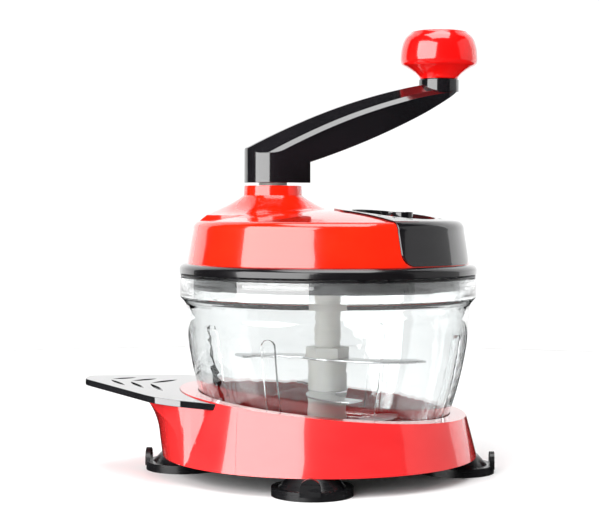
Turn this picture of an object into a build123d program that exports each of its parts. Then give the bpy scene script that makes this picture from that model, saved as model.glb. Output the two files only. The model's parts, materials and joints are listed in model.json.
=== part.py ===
"""Hand cranked food chopper: suction base, clear bowl, geared lid, crank and blade set.

Origin: the bowl's axis where it meets the worktop. +Z is up, +X points away from the carrying
grip, and -Y is the side that shows the pouring spout. Millimetres throughout.
"""

from build123d import *
import math
import os

# --- clearances -------------------------------------------------------------------------------
RUNNING_FIT = 0.05      # radial, shaft in bush
SEAT_GAP = 0.1          # radial, piece seated in another of the same body
PART_GAP = 0.3          # between pieces that move apart
LOOSE_GAP = 0.6         # bowl in its well, blade set in the clutch

# --- base -------------------------------------------------------------------------------------
BASE_X = -4.5           # the base shell's centre lies this far towards the grip
BASE_FOOT_R = 89.9      # outer radius at the lower edge
BASE_FOOT_Z = 10.3      # lower edge above the worktop
BASE_TAPER = 0.26       # radius lost for each millimetre of height
BASE_TOP_Z = 40.4       # height of the sloping top on the bowl's axis
BASE_SLOPE = 5.13       # degrees, the top falls away from the grip
BASE_CUT_Z = 75.0       # the base's trimming forms end here, above its top
SHELL_WALL = 2.4
CORE_R = 80.0           # the ring shell inside the arm shell
SEAM_X = -45.0          # where the ring shell meets the arm shell
BOTTOM_PLATE_T = 2.0
FLOOR_T = 2.2           # floor and wall of the bowl's well
MAT_T = 2.8
MAT_OUTER_R = 57.0
MAT_INNER_R = 34.0
BOSS_R = 3.8
BOSS_H = 15.0
BOSS_CIRCLE_R = BASE_FOOT_R - 14.1
ARM_BOSS_CIRCLE_R = BASE_FOOT_R - 6.3
ARM_BOSS_AZ = 27.0      # degrees either side of the grip
SCREW_R = 1.6
SCREW_L = 12.0
SCREW_HEAD_R = 3.2
SCREW_HEAD_T = 1.9

# --- grip -------------------------------------------------------------------------------------
GRIP_TIP_X = -139.5
GRIP_HALF_W = 61.0
GRIP_TIP_HALF_W = 8.5
GRIP_CORNER_X = -89.0
GRIP_TIP_FILLET = 20.0
GRIP_CORNER_FILLET = 30.0
GRIP_T = 3.6
GRIP_STEP = 0.5         # the grip's face lies this far below the ring's top
GRIP_OVERHANG = 3.5     # the plate stands proud of the arm's sides
GRIP_REACH = 28.5       # and of the arm's end
FLARE_R = 107.0         # the arm's reach under the grip, from the base centre
FLARE_WAIST_R = 91.5    # where the concave flare leaves the foot
CHEVRON_COUNT = 3
CHEVRON_FIRST_X = -125.0
CHEVRON_PITCH = 11.5
CHEVRON_HALF_W = 20.0
CHEVRON_GROWTH = 4.5
CHEVRON_SWEEP = 11.0
CHEVRON_GAP = 2.0
CHEVRON_W = 4.0
CHEVRON_DEPTH = 1.3
GRIP_SCREW_X = -91.0
GRIP_SCREW_Y = 22.0
GRIP_SCREW_R = 1.4
GRIP_SCREW_L = 4.4
GRIP_SCREW_HEAD_R = 2.8
GRIP_SCREW_HEAD_T = 1.6

# --- suction cups -----------------------------------------------------------------------------
CUP_CIRCLE_R = BASE_FOOT_R - 11.5
CUP_R = 21.7
CUP_RIM_H = 4.7
CUP_RIM_W = 2.4
CUP_SHOULDER_R = 17.6
CUP_TOP_R = 12.5
CUP_STEM_R = 4.8
CUP_FLANGE_R = 6.6
CUP_FLANGE_T = 1.8
TAB_W = 11.0
TAB_T = 2.8
TAB_H = 12.0

# --- bowl -------------------------------------------------------------------------------------
BOWL_FLOOR_Z = 18.0
BOWL_WALL = 2.4
BOWL_FOOT_R = 60.0
BOWL_KNEE_R = 66.0
BOWL_KNEE_Z = 24.0
BOWL_BELLY_R = 76.3
BOWL_BELLY_Z = 57.2
BOWL_NECK_R = 81.4
BOWL_NECK_Z = 96.0
RIM_R = 85.0
RIM_LOW_Z = 102.5
RIM_TOP_Z = 111.5
RIB_COUNT = 4
RIB_AZ = -21.7          # degrees, the first rib
RIB_W = 7.6
RIB_DEPTH = 2.2
RIB_TOP_Z = 81.0
LUG_COUNT = 4
LUG_ARC = 30.0
LUG_T = 2.0
LUG_REACH = 2.7
PIN_R = 3.0
PIN_TOP_Z = 96.0
PIN_BOSS_R = 8.0
PIN_BOSS_H = 3.2

# --- lid --------------------------------------------------------------------------------------
SEAL_T = 1.2
SEAL_W = 3.4
LIP_T = 3.7
SKIRT_R = 78.8
SKIRT_WALL = 2.0
SKIRT_DROP = 8.4        # skirt below the lip
BAYONET_ARC = 37.0
BAYONET_AZ = 27.8       # degrees, the first segment's middle
BAYONET_T = 2.4
BAYONET_REACH = 2.2
LIP_UPSTAND_H = 4.0
LIP_UPSTAND_T = 1.8
LID_WALL = 3.0
LID_FOOT_R = 80.9
LID_SHOULDER_R = 77.2
LID_SHOULDER_Z = 138.6
LID_BROW_R = 72.5
LID_BROW_Z = 143.4
LID_CROWN_Z = 149.8
SPOUT_AZ = 55.7         # degrees, the spout's middle

# --- turret and gears -------------------------------------------------------------------------
GEAR_MODULE = 1.5
CRANK_TEETH = 42
PINION_TEETH = 12
PRESSURE_ANGLE = 25.0
BACKLASH = 0.1          # taken off each tooth at the pitch circle
GEAR_LOW_Z = 130.0
GEAR_T = 8.0
TURRET_R = 17.0
TURRET_TOP_Z = 163.7
TURRET_WAIST_Z = TURRET_TOP_Z - 5.7
FLARE_BEND_R = TURRET_R + 9.0       # the turret's concave flare passes here
FLARE_BEND_Z = LID_CROWN_Z + 2.8
FLARE_FOOT_R = TURRET_R + 33.0      # and ends here, under the dome's face
FLARE_FOOT_Z = LID_CROWN_Z - 3.2
TURRET_BOSS_R = 12.5
BUSH_WALL = 3.2
BUSH_FLANGE = 2.6
BUSH_FLANGE_T = 1.4
CRANK_SHAFT_R = 5.0
DRIVER_SHAFT_R = 4.0
HEX_SHARE = 0.98        # hexagon's corner circle against its shaft
GEAR_COVER_T = 2.0
GEAR_COVER_Z = 124.0
LID_BOSS_R = 4.2
LID_BOSS_CIRCLE_R = 68.5
LID_BOSS_TURNS = (50.0, -50.0, 142.0, -142.0)
LID_SCREW_R = 1.4
LID_SCREW_L = 10.0

# --- spout trim and fill plug -----------------------------------------------------------------
TRIM_HALF_AZ = 23.5
TRIM_TIP_U = 3.0
TRIM_TIP_FILLET = 4.0
TRIM_SHOULDER_U = 21.0
TRIM_SHOULDER_V = 15.5
TRIM_SHOULDER_FILLET = 18.0
TRIM_END_U = 92.0
TRIM_PROUD = 0.8
TRIM_SUNK = 1.6
TRIM_FOOT_Z = 120.0
TRIM_CORNER_R = 7.0
CHUTE_U = 45.0          # the chute's centre from the bowl's axis
CHUTE_HALF_L = 24.0
CHUTE_HALF_W = 18.5
CHUTE_WALL = 2.0
LEDGE_W = 2.2
LEDGE_Z = 138.6
PLUG_T = 5.0
PLUG_BOSS_U = 51.0
PLUG_BOSS_R = 6.0
PLUG_BOSS_H = 5.0
DRAIN_COUNT = 3         # drain holes on each side of the chute's outer end
DRAIN_FIRST = 42.0      # degrees from the spout's direction
DRAIN_STEP = 24.0
DRAIN_R = 1.1
DRAIN_RING = 3.0        # the drain holes lie this far outside the chute

# --- crank ------------------------------------------------------------------------------------
ARM_AZ = 26.3           # degrees from +X
ARM_LENGTH = 109.5
HUB_R = 17.0
HUB_LOW_Z = 165.4
HUB_SIDE_Z = 177.5
HUB_BACK_Z = 185.5
TIP_R = 12.3
TIP_TOP_Z = 229.5
TIP_UNDER_Z = TIP_TOP_Z - 3.5
ARM_UNDER_MID = (ARM_LENGTH * 0.484, 190.2)
ARM_UNDER_KNEE = (ARM_LENGTH - 18.5, TIP_TOP_Z - 22.5)
ARM_UNDER_CURL = (ARM_LENGTH + 0.5, TIP_TOP_Z - 11.9)
ARM_CREST_MID = (ARM_LENGTH * 0.365, 210.4)
ARM_RIDGE = 2.5         # half width of the crest's flat
ARM_PITCH = 30.0        # slope of the crest's two faces, degrees
ARM_STRIP = 2.8         # width of the steeper strip along both sides
ARM_SECTIONS = 6
SPACER_R = 8.3
HUB_SOCKET_DEPTH = 15.0
WASHER_R = 7.0
WASHER_T = 0.8
CRANK_SCREW_R = 1.6
CRANK_SCREW_HEAD_R = 3.6
CRANK_SCREW_HEAD_T = 2.0

# --- knob -------------------------------------------------------------------------------------
KNOB_TOP_Z = TIP_TOP_Z + 29.4
KNOB_R = 23.6
KNOB_WIDE_Z = TIP_TOP_Z + 11.7
KNOB_FACE_R = 16.0
KNOB_LIP_R = 20.4
KNOB_LIP_Z = TIP_TOP_Z + 7.9
KNOB_NECK_R = 11.8
KNOB_CAP_R = 13.0
KNOB_CAP_T = 1.6
STUD_R = 3.6
STUD_HEAD_R = 6.2
STUD_HEAD_T = 2.4
STUD_HEAD_Z = TIP_TOP_Z + 21.0
STUD_THREAD_L = 8.5
KNOB_BUSH_WALL = 2.4

# --- driver and blade set ---------------------------------------------------------------------
SOCKET_R = 11.0
SOCKET_LOW_Z = 98.5
SOCKET_TOP_Z = 121.5
SOCKET_BORE_R = 8.2
SOCKET_DEPTH = 11.0
DOG_ARC = 40.0
DOG_INNER_R = 4.4
HUB_TUBE_R = 7.4
HUB_FLANGE_R = 11.0
HUB_FLANGE_T = 2.6
HUB_DOG_H = 9.0
HUB_HEAD_Z = 98.0
BLADE_T = 1.2
BLADE_R = 58.0
BLADE_ROOT_W = 17.0
BLADE_TIP_W = 8.0
BLADE_SWEEP = 24.0      # how far an arm bows back, degrees
LOWER_SPACER_H = 17.5
UPPER_SPACER_H = 17.5
BLADE_NUT_H = 6.0
BLADE_TURNS = (20.0, 80.0, 140.0)

# --- worked out from the sizes above ------------------------------------------------------------
BOTTOM_PLATE_TOP = BASE_FOOT_Z + BOTTOM_PLATE_T
WELL_MAT_TOP = BOWL_FLOOR_Z - PART_GAP
WELL_FLOOR_Z = WELL_MAT_TOP - MAT_T
SEAL_LOW_Z = RIM_TOP_Z + PART_GAP
LIP_LOW_Z = SEAL_LOW_Z + SEAL_T + PART_GAP
LIP_TOP_Z = LIP_LOW_Z + LIP_T
SKIRT_LOW_Z = LIP_LOW_Z - SKIRT_DROP
GEAR_COVER_TOP = GEAR_COVER_Z + GEAR_COVER_T
GEAR_TOP_Z = GEAR_LOW_Z + GEAR_T
GEAR_OFFSET = GEAR_MODULE * (CRANK_TEETH + PINION_TEETH) / 2
SPOUT_DIR = SPOUT_AZ - 90.0
CRANK_DIR = SPOUT_DIR + 180.0
CRANK_X = GEAR_OFFSET * math.cos(math.radians(CRANK_DIR))
CRANK_Y = GEAR_OFFSET * math.sin(math.radians(CRANK_DIR))
KNOB_X = CRANK_X + ARM_LENGTH * math.cos(math.radians(ARM_AZ))
KNOB_Y = CRANK_Y + ARM_LENGTH * math.sin(math.radians(ARM_AZ))
FAR = 400.0             # larger than the whole object


# --- shared shapes ------------------------------------------------------------------------------
def disc(radius, low, high, x=0.0, y=0.0):
    """Upright cylinder between two heights."""
    return Pos(x, y, low) * Cylinder(radius, high - low, align=(Align.CENTER, Align.CENTER, Align.MIN))


def tube(outer, inner, low, high, x=0.0, y=0.0):
    """Upright tube between two heights."""
    return disc(outer, low, high, x, y) - disc(inner, low - 1, high + 1, x, y)


def slab(x0, x1, y0, y1, z0, z1):
    """Box given by its corners."""
    middle = Pos((x0 + x1) / 2, (y0 + y1) / 2, (z0 + z1) / 2)
    return middle * Box(x1 - x0, y1 - y0, z1 - z0)


def turned(edges, x=0.0, y=0.0):
    """Solid of revolution of a closed chain of edges drawn in the XZ plane."""
    return Pos(x, y, 0) * revolve(Face(Wire(edges)), Axis.Z)


def chain(points):
    """Straight edges through points (radius, height), closed."""
    corners = [(r, 0, z) for r, z in points]
    return [Line(a, b) for a, b in zip(corners, corners[1:] + corners[:1])]


def prism(sketch, low, high):
    """Upright prism of a plan sketch."""
    return Pos(0, 0, low) * extrude(sketch, high - low)


def sector(outer, inner, low, high, middle, arc):
    """Part of an upright tube, centred on an angle from +X in degrees."""
    reach = outer * 1.2 / math.cos(math.radians(arc / 2))
    half = math.radians(arc / 2)
    corners = [(0, 0), (reach * math.cos(half), -reach * math.sin(half)),
               (reach * math.cos(half), reach * math.sin(half))]
    wedge = prism(make_face(Polyline(*corners, close=True)), low, high)
    return tube(outer, inner, low, high) & (Rot(0, 0, middle) * wedge)


def from_front(azimuth):
    """Angle from +X of an azimuth counted from the front (-Y) towards +X."""
    return azimuth - 90.0


def around(radius, angle, x=0.0, y=0.0):
    """Point on a circle, angle from +X in degrees."""
    return (x + radius * math.cos(math.radians(angle)), y + radius * math.sin(math.radians(angle)))


def hexagon_bar(corner_radius, low, high, x=0.0, y=0.0):
    """Upright hexagonal bar."""
    return Pos(x, y, 0) * prism(RegularPolygon(corner_radius, 6), low, high)


def screw(x, y, head_low, head_r, head_t, shank_r, length):
    """Screw driven upwards: cross-recessed head below, shank above."""
    head = disc(head_r, head_low, head_low + head_t, x, y)
    body = head + disc(shank_r, head_low + head_t, head_low + head_t + length, x, y)
    slot = head_r * 0.35
    deep = head_t * 0.5
    for a, b in ((head_r * 0.6, slot / 2), (slot / 2, head_r * 0.6)):
        body -= slab(x - a, x + a, y - b, y + b, head_low - 1, head_low + deep)
    return body


# --- base ---------------------------------------------------------------------------------------
def base_height(x):
    """Height of the sloping top at a place along X."""
    return BASE_TOP_Z - math.tan(math.radians(BASE_SLOPE)) * x


def below_top(drop):
    """Everything lower than the sloping top less a drop."""
    block = Box(FAR * 2, FAR * 2, FAR, align=(Align.CENTER, Align.CENTER, Align.MAX))
    return Pos(0, 0, BASE_TOP_Z - drop) * Rot(0, BASE_SLOPE, 0) * block


def foot_cone(inset, high=70.0):
    """The base's tapering outer form, drawn in by an inset."""
    top = BASE_FOOT_R - BASE_TAPER * (high - BASE_FOOT_Z) - inset
    low = BASE_FOOT_R - inset
    return turned(chain([(0, BASE_FOOT_Z), (low, BASE_FOOT_Z), (top, high), (0, high)]), BASE_X)


def bowl_wall_edges(offset):
    """The bowl's outside from knee to neck as one arc, moved out by an offset."""
    return ThreePointArc((BOWL_KNEE_R + offset, 0, BOWL_KNEE_Z),
                         (BOWL_BELLY_R + offset, 0, BOWL_BELLY_Z),
                         (BOWL_NECK_R + offset, 0, BOWL_NECK_Z))


def bowl_form(offset, floor_z):
    """Solid of the bowl's outside up to its neck, offset outwards."""
    knee = (BOWL_KNEE_R + offset, 0, BOWL_KNEE_Z)
    foot = (BOWL_FOOT_R + offset, 0, floor_z)
    bend = ((knee[0] + foot[0]) / 2 + 0.21 * (knee[0] - foot[0]), 0,
            (knee[2] + foot[2]) / 2 - 0.21 * (knee[2] - foot[2]))
    neck = (BOWL_NECK_R + offset, 0, BOWL_NECK_Z)
    return turned([Line((0, 0, floor_z), foot), ThreePointArc(foot, bend, knee), bowl_wall_edges(offset),
                   Line(neck, (0, 0, BOWL_NECK_Z)), Line((0, 0, BOWL_NECK_Z), (0, 0, floor_z))])


def ring_boss_places():
    """Where the four screws of the ring shell stand."""
    return [around(BOSS_CIRCLE_R, angle, BASE_X) for angle in (45, 135, 225, 315)]


def arm_boss_places():
    """Where the two screws of the arm shell stand."""
    return [around(ARM_BOSS_CIRCLE_R, 180 + side * ARM_BOSS_AZ, BASE_X) for side in (1, -1)]


def bosses(places):
    """Screw bosses above the bottom plate."""
    low = BOTTOM_PLATE_TOP + SEAT_GAP
    return [disc(BOSS_R, low, low + BOSS_H, x, y) for x, y in places]


def screw_bores(places):
    """Pilot holes for the screws from below."""
    low = BASE_FOOT_Z
    return [disc(SCREW_R + SEAT_GAP, low, low + BOTTOM_PLATE_T + SCREW_L, x, y) for x, y in places]


def plate_recess():
    """Room for the bottom plate in the shells' lower edge."""
    radius = BASE_FOOT_R - SHELL_WALL
    return disc(radius, BASE_FOOT_Z - 1, BOTTOM_PLATE_TOP + SEAT_GAP, BASE_X)


def cup_recess():
    """Room for the left cup's snap flange between the two shells."""
    x, y = around(CUP_CIRCLE_R, 180, BASE_X)
    top = BOTTOM_PLATE_TOP + SEAT_GAP + CUP_FLANGE_T
    return disc(CUP_FLANGE_R + PART_GAP, BASE_FOOT_Z - 1, top + PART_GAP, x, y)


def base_ring():
    """Red shell with the bowl's well."""
    front_half = slab(SEAM_X, FAR, -FAR, FAR, -FAR, FAR)
    inner_half = slab(SEAM_X + SHELL_WALL, FAR, -FAR, FAR, -FAR, FAR)
    outer = (foot_cone(0) & front_half) + disc(CORE_R, BASE_FOOT_Z, 70, BASE_X)
    hollow = (foot_cone(SHELL_WALL) & inner_half) + disc(CORE_R - SHELL_WALL, BASE_FOOT_Z, 70, BASE_X)
    shell = (outer & below_top(0)) - (hollow & below_top(SHELL_WALL))
    well = bowl_form(LOOSE_GAP + FLOOR_T, WELL_FLOOR_Z - FLOOR_T)
    shell += well & below_top(0)
    for boss in bosses(ring_boss_places()):
        shell += boss
    pocket = bowl_form(LOOSE_GAP, WELL_FLOOR_Z)
    shell = shell - pocket - plate_recess() - cup_recess()
    for bore in screw_bores(ring_boss_places()):
        shell -= bore
    return shell


def grip_outline(inset=0.0, reach=0.0):
    """Plan of the grip: straight sides, slanted shoulders, rounded nose."""
    half = GRIP_HALF_W - inset
    tip_x = GRIP_TIP_X + reach
    tip_half = GRIP_TIP_HALF_W
    corner_x = GRIP_CORNER_X + reach * 0.3
    face = make_face(Polyline((BASE_X, -half), (corner_x, -half), (tip_x, -tip_half),
                              (tip_x, tip_half), (corner_x, half), (BASE_X, half), close=True))
    tips = [v for v in face.vertices() if v.X < tip_x + 1]
    face = fillet(tips, GRIP_TIP_FILLET * 0.7)
    corners = [v for v in face.vertices() if abs(v.X - corner_x) < 0.5 and abs(abs(v.Y) - half) < 0.5]
    return fillet(corners, GRIP_CORNER_FILLET)


def flare_form(inset):
    """The arm's concave flare, turned about the base centre and drawn in by an inset."""
    reach = (FLARE_R - inset, 0, base_height(BASE_X - FLARE_R))
    waist = (FLARE_WAIST_R - inset, 0, BASE_FOOT_Z + 12)
    foot = (BASE_FOOT_R - inset, 0, BASE_FOOT_Z)
    bend = (waist[0] + (reach[0] - waist[0]) * 0.34, 0, waist[2] + (reach[2] - waist[2]) * 0.60)
    top = BASE_CUT_Z
    return turned([Line((0, 0, BASE_FOOT_Z), foot), Line(foot, waist), ThreePointArc(waist, bend, reach),
                   Line(reach, (reach[0], 0, top)), Line((reach[0], 0, top), (0, 0, top)),
                   Line((0, 0, top), (0, 0, BASE_FOOT_Z))], BASE_X)


def arm_form(inset):
    """Outside of the arm shell before it is trimmed, drawn in by an inset."""
    plan = prism(grip_outline(GRIP_OVERHANG + inset, GRIP_REACH + inset), BASE_FOOT_Z, BASE_CUT_Z)
    return foot_cone(inset) + (flare_form(inset) & plan)


def grip_cutter(drop):
    """The grip plate's space in the arm, from a drop below the sloping top."""
    return prism(grip_outline(-SEAT_GAP), 20, BASE_CUT_Z) - below_top(drop)


def grip_screw_places():
    """Where the three screws of the grip plate stand."""
    return [(GRIP_SCREW_X, 0.0), (GRIP_SCREW_X, GRIP_SCREW_Y), (GRIP_SCREW_X, -GRIP_SCREW_Y)]


def base_arm():
    """Red shell under the grip, closed on top."""
    under_grip = GRIP_STEP + GRIP_T
    rear_half = slab(-FAR, SEAM_X - SEAT_GAP, -FAR, FAR, -FAR, FAR)
    inner_half = slab(-FAR, SEAM_X - SHELL_WALL, -FAR, FAR, -FAR, FAR)
    shell = (arm_form(0) & rear_half & below_top(0)) - grip_cutter(under_grip)
    shell -= arm_form(SHELL_WALL) & inner_half & below_top(under_grip + FLOOR_T)
    for side, boss in zip((1, -1), bosses(arm_boss_places())):
        low = BOTTOM_PLATE_TOP + SEAT_GAP
        web = slab(ARM_BOSS_CIRCLE_R, BASE_FOOT_R + 6, -BOSS_R / 3, BOSS_R / 3, low, low + BOSS_H)
        web = Pos(BASE_X, 0, 0) * Rot(0, 0, 180 + side * ARM_BOSS_AZ) * web
        shell += (boss + web) & flare_form(SHELL_WALL / 2)
    shell = shell - disc(CORE_R + SEAT_GAP, 0, 90, BASE_X) - plate_recess() - cup_recess()
    for bore in screw_bores(arm_boss_places()):
        shell -= bore
    for x, y in grip_screw_places():
        shell -= disc(GRIP_SCREW_R + SEAT_GAP, 20, BASE_CUT_Z, x, y)
    return shell


def chevron(index, side):
    """Plan of one arm of one groove: a leaf between two arcs."""
    start = CHEVRON_FIRST_X + index * CHEVRON_PITCH
    half = CHEVRON_HALF_W + index * CHEVRON_GROWTH
    near = (start, side * CHEVRON_GAP)
    far = (start + CHEVRON_SWEEP, side * half)
    middle = (start + CHEVRON_SWEEP / 2, side * (CHEVRON_GAP + half) / 2)
    front = ThreePointArc(near, (middle[0] - CHEVRON_W / 2, middle[1]), far)
    back = ThreePointArc(far, (middle[0] + CHEVRON_W / 2, middle[1]), near)
    return make_face(Curve() + [front, back])


def grip_plate():
    """Black tongue the hand takes hold of, with its chevron grooves."""
    plate = prism(grip_outline(), 20, BASE_CUT_Z) & below_top(GRIP_STEP)
    plate = plate - below_top(GRIP_STEP + GRIP_T) - disc(CORE_R + SEAT_GAP, 0, 90, BASE_X)
    grooves = below_top(0) - below_top(GRIP_STEP + CHEVRON_DEPTH)
    for index in range(CHEVRON_COUNT):
        for side in (1, -1):
            plate -= prism(chevron(index, side), 20, BASE_CUT_Z) & grooves
    for x, y in grip_screw_places():
        top = base_height(x) - GRIP_STEP - GRIP_T * 0.35
        plate -= disc(GRIP_SCREW_R + SEAT_GAP, 20, top, x, y)
    return plate


def grip_screws():
    """Three screws that hold the grip plate from inside the arm."""
    skin = GRIP_STEP + GRIP_T + FLOOR_T
    return [screw(x, y, base_height(x) - skin - GRIP_SCREW_HEAD_T - SEAT_GAP * 3, GRIP_SCREW_HEAD_R,
                  GRIP_SCREW_HEAD_T, GRIP_SCREW_R, GRIP_SCREW_L) for x, y in grip_screw_places()]


def base_bottom_plate():
    """Plate that closes the base and carries the suction cups."""
    radius = BASE_FOOT_R - SHELL_WALL - BASE_TAPER * BOTTOM_PLATE_T - SEAT_GAP
    plate = disc(radius, BASE_FOOT_Z, BOTTOM_PLATE_TOP, BASE_X)
    for x, y in ring_boss_places() + arm_boss_places():
        plate -= disc(SCREW_R + SEAT_GAP, 0, 20, x, y)
    for angle in (0, 90, 180, 270):
        x, y = around(CUP_CIRCLE_R, angle, BASE_X)
        plate -= disc(CUP_STEM_R + SEAT_GAP, 0, 20, x, y)
    return plate


def base_screws():
    """Six screws from below into the shells' bosses."""
    return [screw(x, y, BASE_FOOT_Z - SCREW_HEAD_T, SCREW_HEAD_R, SCREW_HEAD_T, SCREW_R,
                  SCREW_L) for x, y in ring_boss_places() + arm_boss_places()]


def well_mat():
    """Rubber ring the bowl stands on."""
    return tube(MAT_OUTER_R, MAT_INNER_R, WELL_FLOOR_Z, WELL_MAT_TOP)


def suction_cup(angle):
    """Rubber cup with its stem, snap flange and outer pull tab."""
    ceiling = BASE_FOOT_Z - SEAT_GAP
    flange_low = BOTTOM_PLATE_TOP + SEAT_GAP
    inner_r = CUP_R - CUP_RIM_W
    shape = turned(chain([(0, CUP_RIM_H * 0.8), (inner_r * 0.55, CUP_RIM_H * 0.7), (inner_r, 0), (CUP_R, 0),
                          (CUP_R, CUP_RIM_H), (CUP_SHOULDER_R, CUP_RIM_H), (CUP_TOP_R, ceiling),
                          (CUP_STEM_R, ceiling), (CUP_STEM_R, flange_low), (CUP_FLANGE_R, flange_low),
                          (CUP_STEM_R, flange_low + CUP_FLANGE_T), (0, flange_low + CUP_FLANGE_T)]))
    tab_x = CUP_R - TAB_T / 2
    tab = slab(tab_x - TAB_T / 2, tab_x + TAB_T / 2, -TAB_W / 2, TAB_W / 2, 0, TAB_H - TAB_W / 2)
    tab += Pos(tab_x, 0, TAB_H - TAB_W / 2) * Rot(0, 90, 0) * Cylinder(TAB_W / 2, TAB_T)
    tab = tab & slab(0, FAR, -FAR, FAR, CUP_RIM_H * 0.5, FAR)
    x, y = around(CUP_CIRCLE_R, angle, BASE_X)
    return Pos(x, y, 0) * Rot(0, 0, angle) * (shape + tab)


# --- bowl ---------------------------------------------------------------------------------------
def bowl_rim():
    """Rim above the neck: a flared shoulder and an upright band."""
    neck_in = BOWL_NECK_R - BOWL_WALL
    rim_in = RIM_R - BOWL_WALL
    swell = (RIM_LOW_Z - BOWL_NECK_Z) * 0.75
    return turned(chain([(neck_in, BOWL_NECK_Z), (BOWL_NECK_R, BOWL_NECK_Z),
                         (BOWL_NECK_R + 0.7, BOWL_NECK_Z + 1.6), (RIM_R, BOWL_NECK_Z + swell),
                         (RIM_R, RIM_TOP_Z), (rim_in, RIM_TOP_Z), (rim_in, RIM_LOW_Z)]))


def bowl():
    """Clear bowl with inner ribs, bayonet lugs and the spindle boss."""
    shape = bowl_form(0, BOWL_FLOOR_Z) - bowl_form(-BOWL_WALL, BOWL_FLOOR_Z + BOWL_WALL)
    shape += bowl_rim()
    band = bowl_form(-BOWL_WALL / 2, BOWL_FLOOR_Z + BOWL_WALL / 2)
    band -= bowl_form(-BOWL_WALL - RIB_DEPTH, BOWL_FLOOR_Z + BOWL_WALL / 2)
    for index in range(RIB_COUNT):
        strip = slab(BOWL_FOOT_R / 2, RIM_R, -RIB_W / 2, RIB_W / 2, BOWL_FLOOR_Z, RIB_TOP_Z - RIB_W / 2)
        strip += Pos(RIM_R * 0.75, 0, RIB_TOP_Z - RIB_W / 2) * Rot(0, 90, 0) * Cylinder(RIB_W / 2, RIM_R / 2)
        place = Rot(0, 0, from_front(RIB_AZ + index * 360 / RIB_COUNT))
        shape += (place * strip) & band
    rim_in = RIM_R - BOWL_WALL
    for index in range(LUG_COUNT):
        middle = from_front(BAYONET_AZ + (index + 0.5) * 360 / LUG_COUNT)
        lug_low = SKIRT_LOW_Z + BAYONET_T + PART_GAP * 2
        shape += sector(rim_in + BOWL_WALL / 2, rim_in - LUG_REACH, lug_low, lug_low + LUG_T, middle, LUG_ARC)
    shape += disc(PIN_BOSS_R, BOWL_FLOOR_Z + BOWL_WALL / 2, BOWL_FLOOR_Z + BOWL_WALL + PIN_BOSS_H)
    return shape - disc(PIN_R + SEAT_GAP / 2, BOWL_FLOOR_Z + BOWL_WALL / 3, 40)


def spindle_pin():
    """Steel pin the blade set turns on, with a coned tip."""
    low = BOWL_FLOOR_Z + BOWL_WALL / 3
    return turned(chain([(0, low), (PIN_R, low), (PIN_R, PIN_TOP_Z - PIN_R), (PIN_R / 4, PIN_TOP_Z),
                         (0, PIN_TOP_Z)]))


# --- blade set ----------------------------------------------------------------------------------
HUB_LOW_Z_BLADES = BOWL_FLOOR_Z + BOWL_WALL + PIN_BOSS_H + PART_GAP * 2
LOWER_BLADE_Z = HUB_LOW_Z_BLADES + HUB_FLANGE_T
MIDDLE_BLADE_Z = LOWER_BLADE_Z + BLADE_T + LOWER_SPACER_H
UPPER_BLADE_Z = MIDDLE_BLADE_Z + BLADE_T + UPPER_SPACER_H
BLADE_NUT_Z = UPPER_BLADE_Z + BLADE_T


def dogs(outer, inner, low, high, turn):
    """Pair of opposite clutch dogs."""
    return [sector(outer, inner, low, high, turn + half, DOG_ARC) for half in (0, 180)]


def blade_hub():
    """Hub tube on the spindle, flanged below, with clutch dogs on top."""
    hub = disc(HUB_TUBE_R, HUB_LOW_Z_BLADES, HUB_HEAD_Z)
    hub += disc(HUB_FLANGE_R, HUB_LOW_Z_BLADES, LOWER_BLADE_Z)
    for dog in dogs(HUB_TUBE_R, DOG_INNER_R, HUB_HEAD_Z - 1, HUB_HEAD_Z + HUB_DOG_H, 90):
        hub += dog
    return hub - disc(PIN_R + RUNNING_FIT, HUB_LOW_Z_BLADES - 1, PIN_TOP_Z + LOOSE_GAP)


def blade(low, turn):
    """Two-armed steel blade, each arm swept back to its tip."""
    sweep = math.radians(BLADE_SWEEP)
    half = BLADE_ROOT_W / 2
    tip = (BLADE_R * math.cos(sweep), BLADE_R * math.sin(sweep))
    heel = ((BLADE_R - BLADE_TIP_W) * math.cos(sweep * 1.45), (BLADE_R - BLADE_TIP_W) * math.sin(sweep * 1.45))
    lead = (BLADE_R * 0.58, -half * 0.25)
    trail = (BLADE_R * 0.42, half * 1.25)
    arm = make_face(Curve() + [Line((0, -half), (half, -half)), ThreePointArc((half, -half), lead, tip),
                               Line(tip, heel), ThreePointArc(heel, trail, (0, half)),
                               Line((0, half), (0, -half))])
    plan = arm + Rot(0, 0, 180) * arm + Circle(HUB_FLANGE_R)
    shape = prism(plan, low, low + BLADE_T) - disc(HUB_TUBE_R + SEAT_GAP, 0, FAR)
    return Rot(0, 0, turn) * shape


def blade_spacer(low, height):
    """Sleeve that sets two blades apart."""
    return tube(HUB_FLANGE_R, HUB_TUBE_R + SEAT_GAP, low, low + height)


def blade_nut():
    """Collar that clamps the blade stack."""
    body = hexagon_bar(HUB_FLANGE_R + 1.5, BLADE_NUT_Z, BLADE_NUT_Z + BLADE_NUT_H)
    return body - disc(HUB_TUBE_R + SEAT_GAP, 0, FAR)


# --- gears --------------------------------------------------------------------------------------
def involute_angle(radius, base):
    """Polar angle of an involute where it reaches a radius."""
    if radius <= base:
        return 0.0
    roll = math.sqrt((radius / base) ** 2 - 1)
    return roll - math.atan(roll)


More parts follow.
